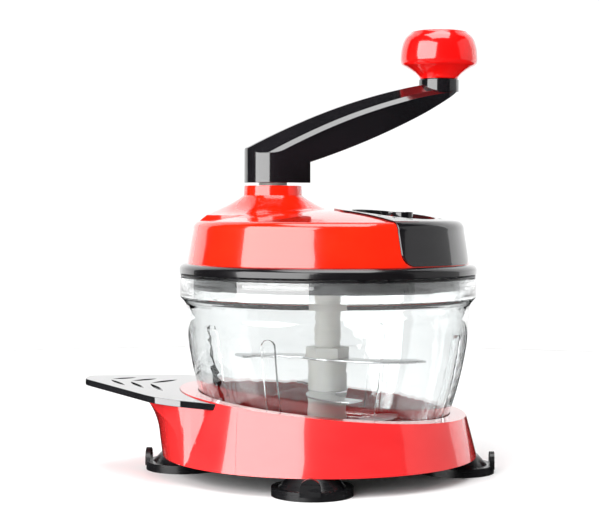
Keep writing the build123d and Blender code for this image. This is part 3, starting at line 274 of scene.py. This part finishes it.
@dataclass(frozen=True)
class ClearPlastic:
    """Clear moulded bowl: slightly cool, with fine scuffs that catch the light."""

    name: str = "clear_styrene"
    tint: Colour = (0.965, 0.985, 0.985)
    scuffed_tint: Colour = (0.9, 0.93, 0.93)
    ior: float = 1.46
    coat_ior: float = 1.6
    smooth: float = 0.008
    scuffed: float = 0.05
    haze_scale: float = 60.0
    wave_scale: float = 22.0
    wave_depth: float = 0.0012

    def build(self) -> Material:
        """Makes the material.

        Returns:
            The material, with its whole node tree.
        """
        shader = Shader(self.name)
        haze = shader.noise(self.haze_scale, 5.0, shader.coordinates((1.0, 1.0, 5.0)))
        tint = shader.blend(shader.spread(haze, 0.0, 1.0, 0.55, 0.85), self.tint, self.scuffed_tint)
        shader.link(tint, shader.surface.inputs["Base Color"])
        rough = shader.spread(haze, self.smooth, self.scuffed, 0.55, 0.9)
        shader.link(rough, shader.surface.inputs["Roughness"])
        wave = shader.bump(shader.noise(self.wave_scale, 1.0), 0.05, self.wave_depth)
        shader.link(wave, shader.surface.inputs["Normal"])
        shader.set(Transmission_Weight=1.0, IOR=self.ior)
        shader.set(Coat_Weight=1.0, Coat_Roughness=0.01, Coat_IOR=self.coat_ior)
        return shader.material


@dataclass(frozen=True)
class SatinPlastic:
    """Milky gear plastic with a fine spark-eroded grain."""

    name: str
    colour: Colour = (0.84, 0.84, 0.80)
    deep: Colour = (0.74, 0.74, 0.69)
    roughness: float = 0.34
    cloud_scale: float = 30.0
    grain_scale: float = 1600.0
    grain_depth: float = 0.00006

    def build(self) -> Material:
        """Makes the material.

        Returns:
            The material, with its whole node tree.
        """
        shader = Shader(self.name)
        cloud = shader.noise(self.cloud_scale, 3.0)
        shader.link(shader.blend(shader.spread(cloud, 0.0, 1.0), self.colour, self.deep),
                    shader.surface.inputs["Base Color"])
        shader.link(shader.spread(shader.noise(120.0), self.roughness - 0.05, self.roughness + 0.08),
                    shader.surface.inputs["Roughness"])
        grain = shader.bump(shader.noise(self.grain_scale, 2.0), 0.25, self.grain_depth)
        shader.link(grain, shader.surface.inputs["Normal"])
        shader.set(Subsurface_Weight=0.12, Subsurface_Radius=(0.004, 0.004, 0.003), Subsurface_Scale=1.0)
        return shader.material


@dataclass(frozen=True)
class Rubber:
    """Black rubber with a polished skin, a little dust and faint moulding streaks."""

    name: str
    roughness: float = 0.22
    dust: float = 0.35
    colour: Colour = (0.008, 0.008, 0.009)
    dust_colour: Colour = (0.16, 0.155, 0.15)
    speck_scale: float = 420.0
    streak_scale: float = 70.0
    streak_rise: float = 0.16
    grain_scale: float = 700.0
    grain_depth: float = 0.00008

    def build(self) -> Material:
        """Makes the material.

        Returns:
            The material, with its whole node tree.
        """
        shader = Shader(self.name)
        specks = shader.spread(shader.noise(self.speck_scale, 6.0), 0.0, self.dust, 0.66, 0.86)
        dusted = shader.blend(specks, self.colour, self.dust_colour)
        shader.link(dusted, shader.surface.inputs["Base Color"])
        streaks = shader.noise(self.streak_scale, 4.0, shader.coordinates((1.0, 1.0, 6.0)))
        rough = shader.spread(streaks, self.roughness, self.roughness + self.streak_rise)
        shader.link(rough, shader.surface.inputs["Roughness"])
        grain = shader.bump(shader.noise(self.grain_scale, 3.0), 0.12, self.grain_depth)
        shader.link(grain, shader.surface.inputs["Normal"])
        shader.set(IOR=1.45, Coat_Weight=0.2, Coat_Roughness=0.12, Coat_IOR=1.5)
        return shader.material


@dataclass(frozen=True)
class BrushedSteel:
    """Ground stainless steel with brush marks along the piece or round its axis."""

    name: str
    brushing: Brushing
    colour: Colour = (0.72, 0.73, 0.74)
    roughness: float = 0.2
    ring_scale: float = 260.0
    line_scale: float = 60.0
    line_stretch: float = 40.0
    relief: float = 0.00005

    def build(self) -> Material:
        """Makes the material.

        Returns:
            The material, with its whole node tree.
        """
        shader = Shader(self.name)
        if self.brushing is Brushing.ROUND:
            rings = shader.node("ShaderNodeTexWave", Scale=self.ring_scale, Distortion=1.2, Detail=3.0)
            rings.wave_type = "RINGS"
            rings.rings_direction = "Z"
            shader.link(shader.place.outputs["Object"], rings.inputs["Vector"])
            marks = rings.outputs["Fac"]
        else:
            stretch = (self.line_stretch, self.line_stretch, 1.0)
            marks = shader.noise(self.line_scale, 8.0, shader.coordinates(stretch))
        shader.link(shader.blend(marks, self.colour, tuple(0.86 * c for c in self.colour)),
                    shader.surface.inputs["Base Color"])
        shader.link(shader.spread(marks, self.roughness, self.roughness + 0.14, 0.2, 0.8),
                    shader.surface.inputs["Roughness"])
        shader.link(shader.bump(marks, 0.12, self.relief), shader.surface.inputs["Normal"])
        shader.set(Metallic=1.0, IOR=2.5)
        return shader.material


@dataclass(frozen=True)
class Matt:
    """Plain pale stage surface."""

    name: str
    shade: float
    roughness: float = 0.55
    shine: float = 0.3

    def build(self) -> Material:
        """Makes the material.

        Returns:
            The material, with its whole node tree.
        """
        shader = Shader(self.name)
        shader.set(Base_Color=(self.shade, self.shade, self.shade, 1.0))
        shader.set(Roughness=self.roughness, Specular_IOR_Level=self.shine)
        return shader.material


class Palette:
    """The finishes of the whole chopper, each built once."""

    def __init__(self) -> None:
        """Builds every finish."""
        self.red = GlossPlastic("red_gloss", (0.90, 0.020, 0.003), (0.80, 0.012, 0.002)).build()
        self.knob_red = GlossPlastic("knob_red_gloss", (0.84, 0.006, 0.004),
                                     (0.72, 0.003, 0.003)).build()
        self.base_red = GlossPlastic("base_red_gloss", (0.78, 0.032, 0.032),
                                     (0.70, 0.022, 0.024)).build()
        self.black = GlossPlastic("black_gloss", (0.006, 0.006, 0.007), (0.010, 0.009, 0.011),
                                  roughness=0.14).build()
        self.grip_black = GlossPlastic("grip_black", (0.010, 0.010, 0.011), (0.015, 0.015, 0.017),
                                       roughness=0.04, coat_roughness=0.01, coat_ior=1.9, ripple=0.015,
                                       scuffs=0.03).build()
        self.lip_black = GlossPlastic("lip_black", (0.004, 0.004, 0.005), (0.007, 0.006, 0.007),
                                      roughness=0.2, coat_roughness=0.03, coat_ior=1.35, ripple=0.03,
                                      scuffs=0.06).build()
        self.clear = ClearPlastic().build()
        self.white = SatinPlastic("gear_plastic").build()
        self.dark_bottom = SatinPlastic("bottom_plastic", (0.012, 0.012, 0.013), (0.02, 0.02, 0.022),
                                        roughness=0.42).build()
        self.rubber = Rubber("cup_rubber").build()
        self.mat_rubber = Rubber("mat_rubber", roughness=0.45, dust=0.5).build()
        self.blade_steel = BrushedSteel("blade_steel", Brushing.ROUND).build()
        self.rod_steel = BrushedSteel("rod_steel", Brushing.ALONG).build()


# --- mesh tools ------------------------------------------------------------------------------
@dataclass
class Maker:
    """Turns bmeshes into finished pieces that ride on the frame."""

    frame: dict[str, Any]
    join_distance: float = 2e-6
    flat_angle: float = 0.4
    round_segments: int = 3
    shading_weight: int = 90

    def settle(self, mesh: BMesh, name: str, material: Material, smooth: float = 35.0) -> Piece:
        """Writes a bmesh to a new object at the origin and gives it its finish.

        Args:
            mesh: The form, in metres in the shared frame. It is freed.
            name: The piece's name.
            material: Its finish.
            smooth: Edges sharper than this many degrees stay crisp.

        Returns:
            The finished object.
        """
        data = bpy.data.meshes.new(name)
        for face in mesh.faces:
            face.smooth = True
        for edge in mesh.edges:
            edge.smooth = not edge.is_manifold or edge.calc_face_angle(0.0) < math.radians(smooth)
        mesh.to_mesh(data)
        mesh.free()
        data.materials.append(material)
        piece = bpy.data.objects.new(name, data)
        bpy.context.scene.collection.objects.link(piece)
        normals = piece.modifiers.new("even_shading", "WEIGHTED_NORMAL")
        normals.keep_sharp = True
        normals.weight = self.shading_weight
        LOG.info("%s: %d faces", name, len(data.polygons))
        return piece

    def stand_for(self, piece: Piece, node: str, finish: Finish) -> None:
        """Puts a piece in a CAD node's place.

        Args:
            piece: The finished piece.
            node: The CAD node that it stands for.
            finish: The record's slot; not used.
        """
        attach(piece, self.frame["nodes"][node]["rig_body"])
        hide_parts(node)

    def merged_copy(self, node: str) -> BMesh:
        """Copy of a CAD node's mesh with its loose triangles joined and flat faces made whole.

        Args:
            node: The CAD node.

        Returns:
            The joined form.
        """
        mesh = bmesh.new()
        mesh.from_mesh(self.frame["nodes"][node].data)
        bmesh.ops.remove_doubles(mesh, verts=mesh.verts, dist=self.join_distance)
        bmesh.ops.dissolve_limit(mesh, angle_limit=math.radians(self.flat_angle), verts=mesh.verts,
                                 edges=mesh.edges)
        return mesh

    def soften(self, node: str, finish: Finish, material: Material, radius: float,
               sharp: float = 40.0, crisp: float = 35.0) -> Piece:
        """A CAD node's form with its sharp edges rounded, in the node's place.

        Args:
            node: The CAD node.
            finish: The record's slot.
            material: The finish.
            radius: Width of the rounding in millimetres.
            sharp: Edges sharper than this many degrees are rounded.
            crisp: Edges still sharper than this after the rounding are shaded as creases.

        Returns:
            The finished piece.
        """
        mesh = self.merged_copy(node)
        edges = [e for e in mesh.edges if e.is_manifold and e.calc_face_angle(0.0) > math.radians(sharp)]
        if edges and radius > 0:
            bmesh.ops.bevel(mesh, geom=edges, offset=radius * MM, offset_type="OFFSET",
                            segments=self.round_segments, profile=0.5, affect="EDGES",
                            clamp_overlap=True, material=-1, loop_slide=True)
        bmesh.ops.triangulate(mesh, faces=[f for f in mesh.faces if len(f.verts) > 4])
        piece = self.settle(mesh, node + "_form", material, crisp)
        self.stand_for(piece, node, finish)
        return piece

    def turned(self, profile: Profile, steps: int, centre: Point = (0.0, 0.0)) -> BMesh:
        """Form turned about an upright axis from a profile of radii and heights.

        Args:
            profile: Radius and height in millimetres, from the axis outwards and back.
            steps: Facets round the axis.
            centre: The axis's place in millimetres.

        Returns:
            The closed form.
        """
        mesh = bmesh.new()
        points = [mesh.verts.new((r * MM, 0.0, z * MM)) for r, z in profile]
        edges = [mesh.edges.new(pair) for pair in zip(points, points[1:])]
        bmesh.ops.spin(mesh, geom=points + edges, cent=(0, 0, 0), axis=(0, 0, 1), angle=math.tau,
                       steps=steps, use_merge=True)
        bmesh.ops.remove_doubles(mesh, verts=mesh.verts, dist=1e-6)
        bmesh.ops.recalc_face_normals(mesh, faces=mesh.faces)
        bmesh.ops.translate(mesh, verts=mesh.verts, vec=(centre[0] * MM, centre[1] * MM, 0.0))
        return mesh


def arc(centre: Point, radius: float, start: float, end: float, steps: int) -> Profile:
    """Points on an arc of a profile.

    Args:
        centre: The arc's centre, radius and height in millimetres.
        radius: The arc's radius.
        start: First angle in degrees, 0 outwards and 90 up.
        end: Last angle.
        steps: Chords.

    Returns:
        The arc's points in order.
    """
    turns = [math.radians(start + (end - start) * i / steps) for i in range(steps + 1)]
    return [(centre[0] + radius * math.cos(a), centre[1] + radius * math.sin(a)) for a in turns]


# --- sub-assemblies --------------------------------------------------------------------------
@dataclass
class Assembly:
    """Part of the chopper that is dressed as one, with what it needs for that."""

    maker: Maker
    palette: Palette

    def build(self) -> None:
        """Dresses every piece."""
        raise NotImplementedError


@dataclass
class Base(Assembly):
    """Red suction base with its grip, bottom plate and cups."""

    shell_round: float = 1.1
    arm_shell_round: float = 0.55
    grip_round: float = 0.54
    plate_round: float = 0.3
    mat_round: float = 0.5
    cup_round: float = 0.5
    cup_sharp: float = 30.0
    screw_round: float = 0.2

    def build(self) -> None:
        """Dresses every piece of the base."""
        self.maker.soften("base_ring", Finish.RED, self.palette.base_red, self.shell_round)
        self.maker.soften("base_arm", Finish.RED, self.palette.base_red, self.arm_shell_round)
        self.maker.soften("grip_plate", Finish.BLACK, self.palette.grip_black, self.grip_round)
        self.maker.soften("base_bottom_plate", Finish.BLACK, self.palette.dark_bottom,
                          self.plate_round)
        self.maker.soften("well_mat", Finish.RUBBER, self.palette.mat_rubber, self.mat_round)
        for side in ("right", "back", "left", "front"):
            self.maker.soften("suction_cup_" + side, Finish.RUBBER, self.palette.rubber, self.cup_round,
                              self.cup_sharp)
        for screws in ("base_screws", "grip_screws"):
            self.maker.soften(screws, Finish.STEEL, self.palette.rod_steel, self.screw_round)


@dataclass
class Bowl(Assembly):
    """Clear bowl and its steel spindle pin."""

    edge_round: float = 0.5
    pin_round: float = 0.2

    def build(self) -> None:
        """Dresses the bowl."""
        self.maker.soften("bowl", Finish.CLEAR, self.palette.clear, self.edge_round)
        self.maker.soften("spindle_pin", Finish.STEEL, self.palette.rod_steel, self.pin_round)


@dataclass
class BladeSet(Assembly):
    """Hub, blades, spacers and nut."""

    hub_round: float = 0.4
    blade_round: float = 0.3

    def build(self) -> None:
        """Dresses the blade set."""
        for node in ("blade_hub", "spacer_lower", "spacer_upper", "blade_nut"):
            self.maker.soften(node, Finish.WHITE, self.palette.white, self.hub_round)
        for node in ("blade_lower", "blade_middle", "blade_upper"):
            self.maker.soften(node, Finish.STEEL, self.palette.blade_steel, self.blade_round)


@dataclass
class Lid(Assembly):
    """Red lid with its black lip and spout trim, and the gear case inside."""

    cover_round: float = 0.6
    ring_round: float = 0.8
    trim_round: float = 0.5
    seal_round: float = 0.3
    case_round: float = 0.25
    screw_round: float = 0.15
    bead_foot_z: float = 116.3
    bead_top_z: float = 119.4
    bead_gap: float = 0.05
    bead_overlap: float = 0.4
    bead_curve: tuple[Point, ...] = (
        (0.0, 0.0), (0.0, 0.5), (0.4, 1.2), (1.1, 1.9), (2.0, 2.5), (3.1, 2.9),
    )
    bead_steps: int = 160

    def lip_bead(self) -> None:
        """Rounded top of the black lip, against the red wall's foot."""
        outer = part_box("lid_ring")[1].x / MM - self.bead_gap
        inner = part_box("lid_cover")[1].x / MM - self.bead_overlap
        low = self.bead_foot_z
        profile = [(inner, low), *((outer - inset, low + rise) for inset, rise in self.bead_curve)]
        profile += [(inner, self.bead_top_z), (inner, low)]
        bead = self.maker.settle(self.maker.turned(profile, self.bead_steps), "lid_lip_bead",
                                 self.palette.lip_black)
        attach(bead, self.maker.frame["nodes"]["lid_ring"]["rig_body"])

    def build(self) -> None:
        """Dresses the lid."""
        self.maker.soften("lid_cover", Finish.RED, self.palette.red, self.cover_round)
        self.maker.soften("lid_ring", Finish.BLACK, self.palette.lip_black, self.ring_round)
        self.lip_bead()
        self.maker.soften("spout_trim", Finish.BLACK, self.palette.black, self.trim_round)
        self.maker.soften("fill_plug", Finish.BLACK, self.palette.black, self.trim_round)
        self.maker.soften("lid_seal", Finish.RUBBER, self.palette.rubber, self.seal_round)
        for node in ("gear_cover", "turret_bush", "driver_bush_upper", "driver_bush_lower"):
            self.maker.soften(node, Finish.WHITE, self.palette.white, self.case_round)
        self.maker.soften("lid_screws", Finish.STEEL, self.palette.rod_steel, self.screw_round)


@dataclass
class Drive(Assembly):
    """Pinion, driver shaft, clutch socket and the crank's gear train."""

    edge_round: float = 0.2

    def build(self) -> None:
        """Dresses the gears and shafts."""
        for node in ("pinion", "driver_socket", "crank_gear", "spacer_washer"):
            self.maker.soften(node, Finish.WHITE, self.palette.white, self.edge_round)
        for node in ("driver_shaft", "crank_shaft", "gear_washer", "gear_screw", "knob_stud"):
            self.maker.soften(node, Finish.STEEL, self.palette.rod_steel, self.edge_round)


@dataclass
class Crank(Assembly):
    """Black crank arm and its red knob."""

    arm_round: float = 0.6
    arm_sharp: float = 12.0
    arm_crisp: float = 9.0
    bush_round: float = 0.2
    knob_steps: int = 96
    knob_widest_z: float = 241.5
    knob_face_r: float = 16.4
    knob_corner: float = 1.8
    knob_corner_lead: float = 0.6
    knob_fullness: float = 2.1
    knob_fit: float = 0.1
    neck_curve: tuple[Point, ...] = (
        (11.2, 0.0), (11.7, 0.3), (12.0, 1.2), (12.9, 2.4), (14.6, 4.0), (17.2, 5.8), (19.6, 7.2),
        (20.6, 7.7), (21.6, 8.1), (22.7, 8.9), (23.3, 9.9),
    )
    ball_shares: tuple[float, ...] = (0.12, 0.25, 0.4, 0.55, 0.7, 0.82, 0.92)

    def knob_profile(self) -> Profile:
        """Outline of the knob's outside: neck, flared cone, lip, ball and flat face.

        Returns:
            Radii and heights in millimetres, from the bush's bore round to the cap's seat.
        """
        low, high = (v / MM for v in (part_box("knob")[0].z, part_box("knob")[1].z))
        wide = (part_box("knob")[1].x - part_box("knob")[0].x) / 2 / MM
        cap = (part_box("knob_cap")[1].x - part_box("knob_cap")[0].x) / 2 / MM + self.knob_fit
        bore = (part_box("knob_bush")[1].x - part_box("knob_bush")[0].x) / 2 / MM + self.knob_fit
        shoulder_r = self.knob_face_r + self.knob_corner * self.knob_corner_lead
        climb = high - self.knob_corner - self.knob_widest_z
        profile = [(bore, low + 6), (bore, low + 0.4), (bore + 0.4, low)]
        profile += [(radius, low + rise) for radius, rise in self.neck_curve]
        profile += [(wide, self.knob_widest_z)]
        for share in self.ball_shares:
            bulge = math.sqrt(1 - share ** self.knob_fullness)
            height = self.knob_widest_z + share * climb
            profile.append((shoulder_r + (wide - shoulder_r) * bulge, height))
        profile += arc((self.knob_face_r - 0.4, high - self.knob_corner), self.knob_corner, 20, 90, 5)
        profile += [(cap + 0.5, high), (cap, high - 0.4), (cap, high - 1.6)]
        return profile

    def knob_cap(self) -> None:
        """Slightly dished cap in the knob's face."""
        low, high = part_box("knob_cap")
        radius = (high.x - low.x) / 2 / MM
        centre = ((low.x + high.x) / 2 / MM, (low.y + high.y) / 2 / MM)
        top, under = high.z / MM, low.z / MM
        profile = [(0.0, under), (radius - 0.2, under), (radius, under + 0.2), (radius, top - 0.5)]
        profile += [(radius - 0.15, top - 0.15), (radius - 0.5, top), (radius - 1.2, top - 0.05)]
        profile += [(0.0, top - 0.35)]
        piece = self.maker.settle(self.maker.turned(profile, self.knob_steps, centre), "knob_cap_form",
                                  self.palette.knob_red)
        self.maker.stand_for(piece, "knob_cap", Finish.RED)

    def build(self) -> None:
        """Dresses the arm and turns the knob."""
        self.maker.soften("crank_arm", Finish.BLACK, self.palette.black, self.arm_round, self.arm_sharp,
                          self.arm_crisp)
        low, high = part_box("knob")
        centre = ((low.x + high.x) / 2 / MM, (low.y + high.y) / 2 / MM)
        form = self.maker.turned(self.knob_profile(), self.knob_steps, centre)
        knob = self.maker.settle(form, "knob_form", self.palette.knob_red)
        self.maker.stand_for(knob, "knob", Finish.RED)
        self.knob_cap()
        self.maker.soften("knob_bush", Finish.WHITE, self.palette.white, self.bush_round)


# --- stage, light and camera ---------------------------------------------------------------------
@dataclass(frozen=True)
class Softbox:
    """Rectangular studio light that faces the object; sizes in metres, turns in degrees."""

    name: str
    azimuth: float
    distance: float
    height: float
    width: float
    tall: float
    watts: float
    aim: tuple[float, float, float] = (0.0, 0.0, 0.13)

    def place(self) -> None:
        """Hangs the light; azimuth is counted from the camera's side towards +X."""
        data = bpy.data.lights.new(self.name, "AREA")
        data.shape = "RECTANGLE"
        data.size = self.width
        data.size_y = self.tall
        data.energy = self.watts
        lamp = bpy.data.objects.new(self.name, data)
        turn = math.radians(self.azimuth)
        lamp.location = (self.distance * math.sin(turn), -self.distance * math.cos(turn), self.height)
        ahead = Vector(self.aim) - lamp.location
        lamp.rotation_euler = ahead.to_track_quat("-Z", "Y").to_euler()
        bpy.context.scene.collection.objects.link(lamp)


@dataclass
class Studio:
    """Pale floor and backdrop, soft lights and the camera."""

    paper_shade: float = 0.92
    floor_radius: float = 2.2
    floor_steps: int = 96
    wall_distance: float = 1.9
    wall_curve: float = 1.1
    wall_lift: float = 0.0002
    wall_top: float = 3.0
    wall_steps: int = 36
    curve_steps: int = 24
    world: float = 0.46
    eye: tuple[float, float, float] = (36.4, -893.6, 151.5)
    yaw: float = -0.0586
    pitch: float = 0.0367
    roll: float = 0.0038
    focal_pixels: float = 1560.7
    frame_pixels: float = 600.0
    paper: Material | None = None

    def put(self, mesh: BMesh, name: str, mirrored: bool) -> None:
        """Writes a pale stage surface.

        Args:
            mesh: The surface, which is freed.
            name: The object's name.
            mirrored: Whether gloss surfaces show it.
        """
        bmesh.ops.recalc_face_normals(mesh, faces=mesh.faces)
        data = bpy.data.meshes.new(name)
        for face in mesh.faces:
            face.smooth = True
        mesh.to_mesh(data)
        mesh.free()
        data.materials.append(self.paper)
        piece = bpy.data.objects.new(name, data)
        piece.visible_glossy = mirrored
        bpy.context.scene.collection.objects.link(piece)

    def floor(self) -> None:
        """Round pale floor."""
        mesh = bmesh.new()
        bmesh.ops.create_circle(mesh, cap_ends=True, segments=self.floor_steps,
                                radius=self.floor_radius)
        self.put(mesh, "studio_floor", False)

    def wall(self, name: str, start: float, span: float, mirrored: bool) -> None:
        """Part of the round backdrop, rising from the floor in a curve.

        Args:
            name: The object's name.
            start: Where it starts, in degrees from +X.
            span: How far it runs round, in degrees.
            mirrored: Whether gloss surfaces show it.
        """
        mesh = bmesh.new()
        centre = (self.wall_distance - self.wall_curve, self.wall_curve + self.wall_lift)
        row = arc(centre, self.wall_curve, -90, 0, self.curve_steps)
        row.append((self.wall_distance, self.wall_top))
        turn = math.radians(start)
        points = [mesh.verts.new((r * math.cos(turn), r * math.sin(turn), z)) for r, z in row]
        edges = [mesh.edges.new(pair) for pair in zip(points, points[1:])]
        bmesh.ops.spin(mesh, geom=points + edges, cent=(0, 0, 0), axis=(0, 0, 1),
                       angle=math.radians(span), steps=self.wall_steps)
        self.put(mesh, name, mirrored)

    def lights(self) -> None:
        """Key softbox on the left, a dimmer one on the right, one overhead and the room's fill."""
        Softbox("key_softbox", azimuth=-40.0, distance=1.5, height=0.55, width=1.8, tall=1.7,
                watts=50.0).place()
        Softbox("side_softbox", azimuth=94.0, distance=1.5, height=0.5, width=1.5, tall=1.4,
                watts=2.6).place()
        Softbox("top_softbox", azimuth=10.0, distance=0.2, height=1.25, width=0.9, tall=0.9,
                watts=11.0).place()
        world = bpy.data.worlds.new("studio")
        world.use_nodes = True
        world.node_tree.nodes["Background"].inputs["Color"].default_value = (1.0, 1.0, 1.0, 1.0)
        world.node_tree.nodes["Background"].inputs["Strength"].default_value = self.world
        world.cycles_visibility.glossy = False
        world.cycles_visibility.transmission = False
        bpy.context.scene.world = world

    def camera(self) -> None:
        """Camera where the photograph's ellipses put it."""
        ahead = Vector((math.sin(self.yaw) * math.cos(self.pitch),
                        math.cos(self.yaw) * math.cos(self.pitch), -math.sin(self.pitch)))
        level = Vector((math.cos(self.yaw), -math.sin(self.yaw), 0.0))
        upright = level.cross(ahead)
        right = level * math.cos(self.roll) + upright * math.sin(self.roll)
        above = upright * math.cos(self.roll) - level * math.sin(self.roll)
        data = bpy.data.cameras.new("camera")
        data.sensor_width = 36.0
        data.sensor_fit = "HORIZONTAL"
        data.lens = data.sensor_width * self.focal_pixels / self.frame_pixels
        data.clip_start = 0.01
        eye = bpy.data.objects.new("camera", data)
        axes = Matrix((right, above, -ahead)).transposed()
        eye.matrix_world = Matrix.Translation(Vector(self.eye) * MM) @ axes.to_4x4()
        bpy.context.scene.collection.objects.link(eye)
        bpy.context.scene.camera = eye

    def build(self) -> None:
        """Sets the stage."""
        self.paper = Matt("studio_paper", self.paper_shade).build()
        self.floor()
        self.wall("studio_back", 28.0, 124.0, True)
        self.wall("studio_right", -10.0, 38.0, False)
        self.wall("studio_left", 152.0, 38.0, False)
        self.lights()
        self.camera()
        bpy.context.scene.view_settings.view_transform = "Standard"


def main() -> None:
    """Loads the frame, dresses each sub-assembly in order and sets the stage."""
    logging.basicConfig(level=logging.INFO, format="%(message)s")
    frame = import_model()
    maker = Maker(frame)
    palette = Palette()
    Studio().build()
    for assembly in (Base, Bowl, BladeSet, Lid, Drive, Crank):
        assembly(maker, palette).build()
        LOG.info("%s dressed", assembly.__name__)


if __name__ == "__main__":
    main()
